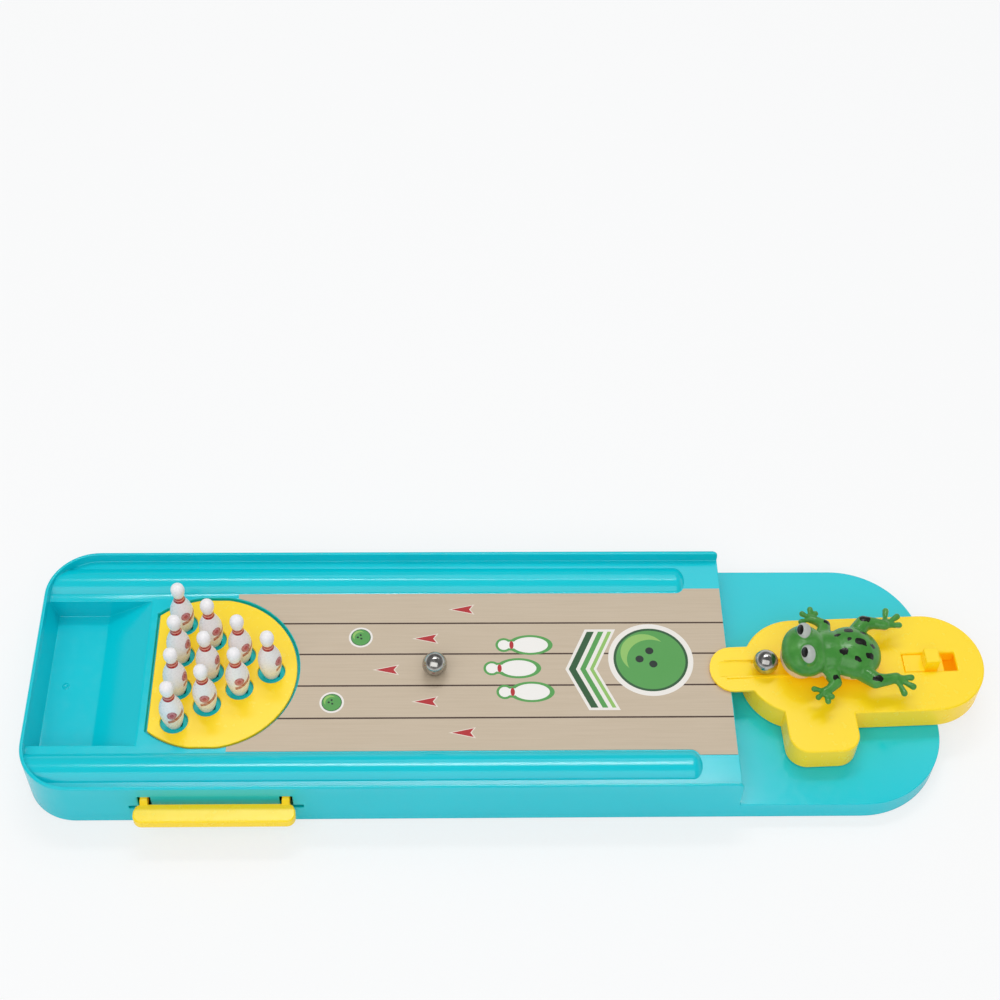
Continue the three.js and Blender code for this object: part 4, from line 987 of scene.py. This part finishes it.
@dataclass
class Moulding:
    """A part copied from its CAD node, with its sharp edges rounded as a mould leaves them.

    Lengths are in millimetres and angles in degrees. room and keep_off are in radii of the
    rounding: how wide the faces beside an edge have to be, and how far an edge stays from a fold.
    """

    node: str
    material: bpy.types.Material
    edge_radius: float
    brow_radius: float = 0.0
    segments: int = 4
    sharp_angle: float = 27.0
    crease: float = 26.0
    fold_angle: float = 140.0
    flat_angle: float = 1.0
    upright: float = 0.1
    weld: float = 0.004
    same_place: float = 0.01
    top_band: float = 0.1
    room: float = 2.2
    keep_off: float = 1.5
    tries: int = 8

    def __post_init__(self) -> None:
        """Looks up the node's box once."""
        self.low, self.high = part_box(self.node)

    def build(self) -> bpy.types.Object:
        """Builds the piece from a merged copy of the node's mesh.

        Returns:
            The rounded moulding.
        """
        bm = bmesh.new()
        bm.from_mesh(frame["nodes"][self.node].data)
        bmesh.ops.remove_doubles(bm, verts=bm.verts, dist=self.weld * MM)
        bmesh.ops.dissolve_limit(bm, angle_limit=math.radians(self.flat_angle), verts=bm.verts,
                                 edges=bm.edges)
        if self.brow_radius:
            bm = self.round_edges(bm, self.brow_radius, self.is_brow)
        bm = self.round_edges(bm, self.edge_radius, self.is_sharp)
        piece = make_piece(bm, f"{self.node}_moulding", self.material, self.node,
                           self.crease)
        flow = piece.modifiers.new("flat_faces", "WEIGHTED_NORMAL")
        flow.keep_sharp = True
        return piece

    def is_sharp(self, edge: bmesh.types.BMEdge) -> bool:
        """Tells whether an edge is a sharp one between two faces.

        Args:
            edge: the edge.

        Returns:
            True for an edge that a mould would round.
        """
        return (len(edge.link_faces) == 2
                and edge.calc_face_angle(0.0) > math.radians(self.sharp_angle))

    def is_brow(self, edge: bmesh.types.BMEdge) -> bool:
        """Tells whether an edge is the outer top edge, where the walls turn over.

        Args:
            edge: the edge.

        Returns:
            True for the edge between the highest flat face and a wall that looks outward.
        """
        if not self.is_sharp(edge):
            return False
        middle = (edge.verts[0].co + edge.verts[1].co) / 2
        outward = middle - (self.low + self.high) / 2
        walls = [f for f in edge.link_faces if abs(f.normal.z) < self.upright]
        return (len(walls) == 1 and middle.z > self.high.z - self.top_band * MM
                and walls[0].normal.xy.dot(outward.xy) > 0)

    def has_room(self, edge: bmesh.types.BMEdge, radius: float) -> bool:
        """Tells whether both faces beside an edge are wide enough for its rounding.

        Args:
            edge: the edge.
            radius: the rounding's radius in millimetres.

        Returns:
            True where both faces reach far enough from the edge.
        """
        start = edge.verts[0].co
        along = (edge.verts[1].co - start).normalized()
        needed = self.room * radius * MM
        for face in edge.link_faces:
            across = face.normal.cross(along)
            if max(abs((v.co - start).dot(across)) for v in face.verts) < needed:
                return False
        return True

    def folds(self, bm: bmesh.types.BMesh) -> list[Vector]:
        """Finds the places where a surface turns back on itself.

        Args:
            bm: the shape.

        Returns:
            The middle of each folded edge.
        """
        limit = math.radians(self.fold_angle)
        return [(e.verts[0].co + e.verts[1].co) / 2 for e in bm.edges
                if len(e.link_faces) == 2 and e.calc_face_angle(0.0) > limit]

    def round_edges(self, bm: bmesh.types.BMesh, radius: float,
                    pick: Callable[[bmesh.types.BMEdge], bool]) -> bmesh.types.BMesh:
        """Rounds edges, and leaves those sharp where the rounding would fold over.

        Args:
            bm: the shape.
            radius: the rounding's radius in millimetres.
            pick: tells which edges to round.

        Returns:
            The rounded shape, or the shape as it was where nothing could be rounded.
        """
        before = self.folds(bm)
        reach = self.keep_off * radius * MM
        kept: list[Vector] = []
        for _ in range(self.tries):
            trial = bm.copy()
            edges = [e for e in trial.edges if pick(e) and self.has_room(e, radius)
                     and not any((v.co - place).length < reach
                                 for v in e.verts for place in kept)]
            bmesh.ops.bevel(trial, geom=edges, offset=radius * MM, offset_type="OFFSET",
                            affect="EDGES", segments=self.segments, profile=0.5, material=-1)
            folds = [p for p in self.folds(trial)
                     if not any((p - q).length < self.same_place * MM for q in before)]
            LOG.info("%s: %d edges rounded by %.2f mm, %d folds", self.node, len(edges), radius,
                     len(folds))
            if not folds:
                bm.free()
                return trial
            kept += folds
            trial.free()
        return bm


@dataclass
class Pins:
    """The ten white pins, each turned from one outline, with its captive foot.

    Lengths are in millimetres and angles in degrees. mark_turns says which way each print faces.
    """

    count: int = 10
    height: float = 25.5
    sides: int = 48
    stem_sides: int = 16
    stem_overlap: float = 0.3
    weld: float = 1e-5
    crease: float = 50.0
    foot_drop: float = 5.3
    foot_height: float = 1.0
    foot_length: float = 3.6
    foot_width: float = 1.2
    stem_radius: float = 0.75
    outline: tuple[tuple[float, float], ...] = (
        (0.0, 0.0), (2.2, 0.0), (2.65, 0.12), (2.85, 0.6), (3.3, 2.2), (3.72, 4.0), (4.02, 5.9),
        (4.2, 7.7), (4.24, 9.0), (4.12, 10.6), (3.78, 12.4), (3.2, 14.1), (2.6, 15.6),
        (2.14, 17.0), (1.88, 18.2), (1.83, 19.1), (1.98, 20.0), (2.26, 21.0), (2.46, 22.1),
        (2.45, 23.2), (2.2, 24.2), (1.68, 24.95), (0.9, 25.38), (0.0, 25.5))
    mark_turns: tuple[float, ...] = (-30.0, -73.0, -52.0, -83.0, -18.0, -50.0, -78.0, -17.0,
                                     -20.0, -60.0)

    def shape(self) -> bmesh.types.BMesh:
        """Spins one pin, standing on its own origin, in millimetres.

        Returns:
            The pin's shape.
        """
        bm = bmesh.new()
        points = [bm.verts.new((r, 0.0, z)) for r, z in self.outline]
        edges = [bm.edges.new(pair) for pair in zip(points, points[1:])]
        bmesh.ops.spin(bm, geom=points + edges, cent=(0, 0, 0), axis=(0, 0, 1),
                       angle=math.tau, steps=self.sides, use_merge=True)
        bmesh.ops.remove_doubles(bm, verts=bm.verts, dist=self.weld)
        bmesh.ops.recalc_face_normals(bm, faces=bm.faces)
        stem = bmesh.ops.create_cone(bm, cap_ends=True, segments=self.stem_sides,
                                     radius1=self.stem_radius, radius2=self.stem_radius,
                                     depth=self.foot_drop)
        bmesh.ops.translate(bm, verts=stem["verts"],
                            vec=(0, 0, self.stem_overlap - self.foot_drop / 2))
        foot = bmesh.ops.create_cube(bm, size=1.0)
        bmesh.ops.scale(bm, verts=foot["verts"],
                        vec=(self.foot_width, self.foot_length, self.foot_height))
        bmesh.ops.translate(bm, verts=foot["verts"],
                            vec=(0, 0, self.foot_height / 2 - self.foot_drop))
        return bm

    def build(self) -> list[bpy.types.Object]:
        """Places every pin where its CAD node stands.

        Returns:
            The pins.
        """
        material = PrintedPinPlastic().build()
        pins = []
        for number in range(1, self.count + 1):
            node = f"pin_{number:02d}"
            low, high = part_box(node)
            bm = self.shape()
            own = [v.co.copy() for v in bm.verts]
            base = Vector(((low.x + high.x) / 2, (low.y + high.y) / 2,
                           high.z - self.height * MM))
            bmesh.ops.transform(bm, matrix=Matrix.Translation(base) @ Matrix.Scale(MM, 4),
                                verts=bm.verts)
            pin = make_piece(bm, f"{node}_turned", material, node, self.crease)
            turn = Matrix.Rotation(-math.radians(self.mark_turns[number - 1]), 3, "Z")
            marks = pin.data.attributes.new("own_mm", "FLOAT_VECTOR", "POINT")
            marks.data.foreach_set("vector", [c for co in own for c in turn @ co])
            pins.append(pin)
        return pins


@dataclass
class Balls:
    """The two steel balls."""

    nodes: tuple[str, ...] = ("ball_lane", "ball_launcher")
    segments: int = 64

    def build(self) -> list[bpy.types.Object]:
        """Makes each ball round, in its node's place.

        Returns:
            The balls.
        """
        material = PolishedSteel().build()
        balls = []
        for node in self.nodes:
            low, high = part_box(node)
            bm = bmesh.new()
            bmesh.ops.create_uvsphere(bm, u_segments=self.segments, v_segments=self.segments // 2,
                                      radius=(high.z - low.z) / 2)
            bmesh.ops.translate(bm, verts=bm.verts, vec=(low + high) / 2)
            balls.append(make_piece(bm, f"{node}_polished", material, node, ALL_SMOOTH))
        return balls


@dataclass
class Frog:
    """The toy frog that strikes the ball: a soft moulding, modelled in the launcher's frame.

    A mass is its centre and its half sizes, and a limb is a row of joints, each a place and a
    radius. The limbs are a fore leg, its four toes, a hind leg and its three toes, for one side.
    """

    voxel: float = 0.34
    seat: float = 20.3
    smoothing: int = 4
    limb_sides: int = 20
    fine_above: float = 3.5
    masses: tuple[tuple[tuple[float, float, float], tuple[float, float, float]], ...] = (
        ((0.35, 0.0, 29.6), (8.4, 10.3, 5.9)), ((-1.2, 0.0, 25.3), (6.7, 8.6, 3.8)),
        ((3.4, 0.0, 26.6), (6.0, 9.2, 4.6)), ((9.0, 0.0, 27.8), (8.9, 8.8, 5.9)),
        ((17.0, 0.0, 27.1), (10.0, 10.4, 6.8)), ((20.3, 0.0, 26.2), (8.0, 9.6, 5.9)),
        ((0.1, 4.7, 33.4), (3.1, 4.1, 4.2)), ((0.1, -4.7, 33.4), (3.1, 4.1, 4.2)))
    limbs: tuple[tuple[tuple[float, float, float, float], ...], ...] = (
        ((8.6, 8.0, 27.4, 2.9), (9.8, 12.2, 27.2, 2.2), (7.2, 14.6, 26.9, 1.65),
         (5.1, 15.6, 26.8, 1.6)),
        ((5.1, 15.6, 26.8, 1.3), (3.4, 14.8, 27.0, 0.8), (1.7, 14.3, 26.9, 1.15)),
        ((5.1, 15.6, 26.8, 1.3), (3.8, 16.8, 27.0, 0.8), (2.6, 17.8, 26.9, 1.15)),
        ((5.1, 15.6, 26.8, 1.3), (5.5, 17.8, 27.0, 0.8), (5.8, 19.6, 26.9, 1.15)),
        ((5.1, 15.6, 26.8, 1.3), (6.3, 16.7, 27.0, 0.8), (7.5, 17.7, 26.9, 1.1)),
        ((20.5, 8.2, 26.8, 3.4), (23.9, 12.2, 27.6, 2.9), (27.6, 12.1, 27.6, 2.2),
         (31.6, 11.2, 27.4, 1.9)),
        ((31.6, 11.2, 27.4, 1.5), (34.4, 11.2, 27.2, 0.9), (37.0, 11.2, 27.1, 1.25)),
        ((31.6, 11.2, 27.4, 1.5), (34.4, 13.2, 27.2, 0.9), (37.0, 15.0, 27.1, 1.25)),
        ((31.6, 11.2, 27.4, 1.5), (32.5, 14.6, 27.2, 0.9), (33.3, 17.6, 27.1, 1.25)))

    def add_ball(self, bm: bmesh.types.BMesh, centre: tuple[float, float, float],
                 radii: tuple[float, float, float]) -> None:
        """Adds one oval mass to the clay.

        Args:
            bm: the clay.
            centre: the mass's centre.
            radii: its half sizes.
        """
        steps = 4 if max(radii) > self.fine_above else 3
        made = bmesh.ops.create_icosphere(bm, subdivisions=steps, radius=1.0)
        bmesh.ops.scale(bm, verts=made["verts"], vec=radii)
        bmesh.ops.translate(bm, verts=made["verts"], vec=centre)

    def add_limb(self, bm: bmesh.types.BMesh,
                 points: tuple[tuple[float, float, float, float], ...], side: float) -> None:
        """Adds a limb as tapered lengths with a ball at each joint.

        Args:
            bm: the clay.
            points: the joints, each a place and a radius.
            side: 1 for the back side of the launcher, -1 for the front.
        """
        joints = [(Vector((x, y * side, z)), r) for x, y, z, r in points]
        for centre, radius in joints:
            self.add_ball(bm, tuple(centre), (radius, radius, radius))
        for (start, r0), (end, r1) in zip(joints, joints[1:]):
            made = bmesh.ops.create_cone(bm, cap_ends=True, segments=self.limb_sides,
                                         radius1=r0, radius2=r1, depth=(end - start).length)
            turn = Vector((0, 0, 1)).rotation_difference(end - start).to_matrix().to_4x4()
            bmesh.ops.transform(bm, verts=made["verts"],
                                matrix=Matrix.Translation((start + end) / 2) @ turn)

    def build(self) -> bpy.types.Object:
        """Models the frog as one skin, smoothed and seated on its post.

        Returns:
            The frog.
        """
        bm = bmesh.new()
        for centre, radii in self.masses:
            self.add_ball(bm, centre, radii)
        for points in self.limbs:
            for side in SIDES:
                self.add_limb(bm, points, side)
        clay_mesh = bpy.data.meshes.new("frog_clay")
        bm.to_mesh(clay_mesh)
        bm.free()
        clay = bpy.data.objects.new("frog_clay", clay_mesh)
        bpy.context.scene.collection.objects.link(clay)
        skin = clay.modifiers.new("skin", "REMESH")
        skin.mode = "VOXEL"
        skin.voxel_size = self.voxel
        graph = bpy.context.evaluated_depsgraph_get()
        made = bpy.data.meshes.new_from_object(clay.evaluated_get(graph))
        bpy.data.objects.remove(clay)
        bm = bmesh.new()
        bm.from_mesh(made)
        for _ in range(self.smoothing):
            bmesh.ops.smooth_vert(bm, verts=bm.verts, factor=0.5, use_axis_x=True,
                                  use_axis_y=True, use_axis_z=True)
        # What hangs below the seat is pressed flat onto it.
        low = [v for v in bm.verts if v.co.z < self.seat]
        bmesh.ops.scale(bm, verts=low, vec=(1, 1, 0), space=Matrix.Translation((0, 0, -self.seat)))
        bmesh.ops.transform(bm, matrix=launcher_place().matrix(), verts=bm.verts)
        return make_piece(bm, "frog_modelled", FrogPaint().build(), "frog_figure",
                          ALL_SMOOTH)


# ----------------------------------------------------------------------------- studio


@dataclass(frozen=True)
class Viewpoint:
    """The photograph's camera, in millimetres from the middle of the tray's pit end.

    The angles are in radians, and focal_share is the focal length as a share of the frame's width.
    """

    place: tuple[float, float, float] = (147.0, -350.34, 561.2)
    pitch: float = 0.90276
    yaw: float = 0.048651
    roll: float = -0.03743
    focal_share: float = 1.78988
    sensor: float = 36.0
    near: float = 0.01

    def build(self) -> bpy.types.Object:
        """Sets up the camera.

        Returns:
            The camera.
        """
        forward = Vector((math.sin(self.yaw) * math.cos(self.pitch),
                          math.cos(self.yaw) * math.cos(self.pitch), -math.sin(self.pitch)))
        level = forward.cross(Vector((0, 0, 1))).normalized()
        down = forward.cross(level)
        right = math.cos(self.roll) * level + math.sin(self.roll) * down
        fall = math.cos(self.roll) * down - math.sin(self.roll) * level
        data = bpy.data.cameras.new("viewpoint")
        data.sensor_width = self.sensor
        data.lens = self.focal_share * self.sensor
        data.clip_start = self.near
        camera = bpy.data.objects.new("viewpoint", data)
        turn = Matrix((right, -fall, -forward)).transposed().to_4x4()
        camera.matrix_world = Matrix.Translation(tray_place().matrix() @ Vector(self.place)) @ turn
        bpy.context.scene.collection.objects.link(camera)
        bpy.context.scene.camera = camera
        return camera


@dataclass(frozen=True)
class Lamp:
    """A soft rectangular lamp, in metres from the row frame's origin, with its power in watts."""

    name: str
    place: tuple[float, float, float]
    size: tuple[float, float]
    power: float

    def build(self) -> bpy.types.Object:
        """Hangs the lamp and points it at the game.

        Returns:
            The lamp.
        """
        data = bpy.data.lights.new(self.name, "AREA")
        data.shape = "RECTANGLE"
        data.size, data.size_y = self.size
        data.energy = self.power
        lamp = bpy.data.objects.new(self.name, data)
        lamp.location = self.place
        lamp.rotation_euler = (-Vector(self.place)).to_track_quat("-Z", "Y").to_euler()
        bpy.context.scene.collection.objects.link(lamp)
        return lamp


@dataclass
class Studio:
    """A pale table top in soft daylight, with a back panel, a front softbox and a strip light.

    Lengths are in metres. sky is the daylight's strength, and ceiling is the mirrored ceiling's.
    The mirrored walls end between the two wall_top heights, which are shares of a unit direction.
    """

    floor_size: float = 6.0
    floor_drop: float = 0.0002
    floor_colour: str = "#f9fbfc"
    floor_mottle: str = "#f7f9fb"
    mottle_per_m: float = 3.0
    floor_roughness: float = 0.7
    floor_glow: float = 0.68
    white: str = "#ffffff"
    sky: float = 0.52
    ceiling: float = 0.2
    wall_top: tuple[float, float] = (0.05, 0.35)
    lamps: tuple[Lamp, ...] = (
        Lamp("back_panel", (0.36, 0.92, 1.27), (1.3, 0.3), 1.35),
        Lamp("front_softbox", (-0.2, -0.85, 1.2), (1.9, 1.1), 8.2),
        Lamp("strip_light", (-0.045, 0.6, 1.33), (0.71, 0.14), 3.6))

    def build(self) -> None:
        """Lays the floor, lights the scene and sets the view."""
        bm = bmesh.new()
        bmesh.ops.create_grid(bm, x_segments=1, y_segments=1, size=self.floor_size / 2)
        mesh = bpy.data.meshes.new("table_top")
        bm.to_mesh(mesh)
        bm.free()
        floor = bpy.data.objects.new("table_top", mesh)
        floor.location.z = -self.floor_drop
        bpy.context.scene.collection.objects.link(floor)
        dress(floor, self.floor_material())
        for lamp in self.lamps:
            lamp.build()
        bpy.context.scene.world = self.daylight()
        bpy.context.scene.view_settings.view_transform = "Standard"

    def daylight(self) -> bpy.types.World:
        """Makes the white surroundings, as the camera, the mirrors and the matt faces see them.

        Returns:
            The world.
        """
        world = bpy.data.worlds.new("soft_daylight")
        world.use_nodes = True
        tree = world.node_tree
        tree.nodes.clear()
        # The camera sees plain white. Gloss and metal mirror white walls and a dimmer ceiling.
        ray = add_node(tree, "ShaderNodeLightPath")
        coordinates = add_node(tree, "ShaderNodeTexCoord")
        way = add_node(tree, "ShaderNodeSeparateXYZ", None,
                       {"Vector": coordinates.outputs["Generated"]})
        room = add_node(tree, "ShaderNodeMapRange",
                        {"From Min": self.wall_top[0], "From Max": self.wall_top[1],
                         "To Min": 1.0, "To Max": self.ceiling}, {"Value": way.outputs["Z"]})
        mirrored = add_node(tree, "ShaderNodeMath", {"operation": "MAXIMUM"},
                            {0: ray.outputs["Is Glossy Ray"],
                             1: ray.outputs["Is Transmission Ray"]})
        shed = add_node(tree, "ShaderNodeMix", {"data_type": "FLOAT", 2: self.sky},
                        {0: mirrored.outputs["Value"], 3: room.outputs["Result"]})
        strength = add_node(tree, "ShaderNodeMix", {"data_type": "FLOAT", 3: 1.0},
                            {0: ray.outputs["Is Camera Ray"], 2: shed.outputs[0]})
        sky = add_node(tree, "ShaderNodeBackground", {"Color": linear(self.white)},
                       {"Strength": strength.outputs[0]})
        add_node(tree, "ShaderNodeOutputWorld", None, {"Surface": sky.outputs["Background"]})
        return world

    def floor_material(self) -> bpy.types.Material:
        """Makes the table top: matt white lacquer that keeps the game's shadow.

        Returns:
            The floor's material.
        """
        material, tree, shader = start_material("matt_white_lacquer")
        coordinates = add_node(tree, "ShaderNodeTexCoord")
        mottle = add_node(tree, "ShaderNodeTexNoise",
                          {"Scale": self.mottle_per_m, "Detail": 2.0},
                          {"Vector": coordinates.outputs["Object"]})
        paint = add_node(tree, "ShaderNodeMix",
                         {"data_type": "RGBA", 6: linear(self.floor_colour),
                          7: linear(self.floor_mottle)}, {0: mottle.outputs["Fac"]})
        tree.links.new(paint.outputs[2], shader.inputs["Base Color"])
        shader.inputs["Roughness"].default_value = self.floor_roughness
        # A lit sweep is burnt out to white, and only part of the shadow is left on it.
        white = add_node(tree, "ShaderNodeEmission",
                         {"Color": linear(self.white), "Strength": 1.0})
        ray = add_node(tree, "ShaderNodeLightPath")
        share = add_node(tree, "ShaderNodeMath", {"operation": "MULTIPLY", 1: self.floor_glow},
                         {0: ray.outputs["Is Camera Ray"]})
        both = add_node(tree, "ShaderNodeMixShader", None,
                        {0: share.outputs["Value"], 1: shader.outputs["BSDF"],
                         2: white.outputs["Emission"]})
        output = next(n for n in tree.nodes if n.type == "OUTPUT_MATERIAL")
        tree.links.new(both.outputs["Shader"], output.inputs["Surface"])
        return material


# ----------------------------------------------------------------------------- assembly


@dataclass
class Tray:
    """The cyan tray with its lane sheet, base cover and screws. The radii are in millimetres."""

    edge_radius: float = 0.35
    brow_radius: float = 0.75
    screws: int = 4

    def build(self, cyan: bpy.types.Material,
              zinc: bpy.types.Material) -> list[bpy.types.Object]:
        """Rounds the tray's edges and dresses the rest.

        Args:
            cyan: the tray's plastic.
            zinc: the screws' plating.

        Returns:
            The tray's pieces.
        """
        pieces = [Moulding("tray_shell", cyan, self.edge_radius, self.brow_radius).build()]
        dress(frame["nodes"]["lane_sheet"], LanePrint().build())
        dress(frame["nodes"]["base_cover"], cyan)
        for number in range(1, self.screws + 1):
            dress(frame["nodes"][f"base_screw_{number}"], zinc)
        return pieces


@dataclass
class PinDeck:
    """The yellow lift plate, the pins and the reset lever. The radii are in millimetres."""

    plate_edge: float = 0.25
    lever_edge: float = 0.6

    def build(self, yellow: bpy.types.Material) -> list[bpy.types.Object]:
        """Builds the plate, the lever and the pins.

        Args:
            yellow: the plate's and the lever's plastic.

        Returns:
            The deck's pieces.
        """
        pieces = [Moulding("lift_plate", yellow, self.plate_edge).build(),
                  Moulding("reset_lever", yellow, self.lever_edge).build()]
        return pieces + Pins().build()


@dataclass(frozen=True)
class Spring:
    """The slide's coil spring, which shortens against its stop as the slide is drawn back."""

    node: str = "launch_spring"
    pull: str = "launch_pull"

    def build(self, material: bpy.types.Material) -> bpy.types.Object:
        """Copies the coil as a piece of its own.

        Args:
            material: the wire's plating.

        Returns:
            The coil.
        """
        bm = bmesh.new()
        bm.from_mesh(frame["nodes"][self.node].data)
        place = launcher_place().matrix()
        coil = make_piece(bm, f"{self.node}_coil", material, self.node, ALL_SMOOTH)
        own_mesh(coil)
        return coil


@dataclass
class Launcher:
    """The yellow launcher with its slide, spring and frog. The radii are in millimetres."""

    body_edge: float = 0.6
    slide_edge: float = 0.25
    screws: int = 4

    def build(self, yellow: bpy.types.Material,
              zinc: bpy.types.Material) -> list[bpy.types.Object]:
        """Builds the casing, the slide, the spring and the frog, and dresses the rest.

        Args:
            yellow: the casing's and the slide's plastic.
            zinc: the plating of the screws, washer and spring.

        Returns:
            The launcher's pieces.
        """
        pieces = [Moulding("launcher_body", yellow, self.body_edge).build(),
                  Moulding("launch_slider", yellow, self.slide_edge).build(),
                  Spring().build(zinc), Frog().build()]
        dress(frame["nodes"]["launcher_cover"], yellow)
        metal = [f"cover_screw_{n}" for n in range(1, self.screws + 1)]
        for node in [*metal, "frog_screw", "pivot_screw", "pivot_washer"]:
            dress(frame["nodes"][node], zinc)
        return pieces


def report(pieces: list[bpy.types.Object]) -> None:
    """Logs each piece with its number of faces.

    Args:
        pieces: the pieces to report.
    """
    for piece in pieces:
        LOG.info("%s: %d faces", piece.name, len(piece.data.polygons))


def main() -> None:
    """Builds and dresses the game, then the studio around it."""
    logging.basicConfig(level=logging.INFO, format="%(name)s: %(message)s")
    cyan = Plastic.CYAN.value.build()
    yellow = Plastic.YELLOW.value.build()
    zinc = ZincPlate().build()
    report(Tray().build(cyan, zinc))
    report(PinDeck().build(yellow))
    report(Balls().build())
    report(Launcher().build(yellow, zinc))
    Viewpoint().build()
    Studio().build()


if __name__ == "__main__":
    main()
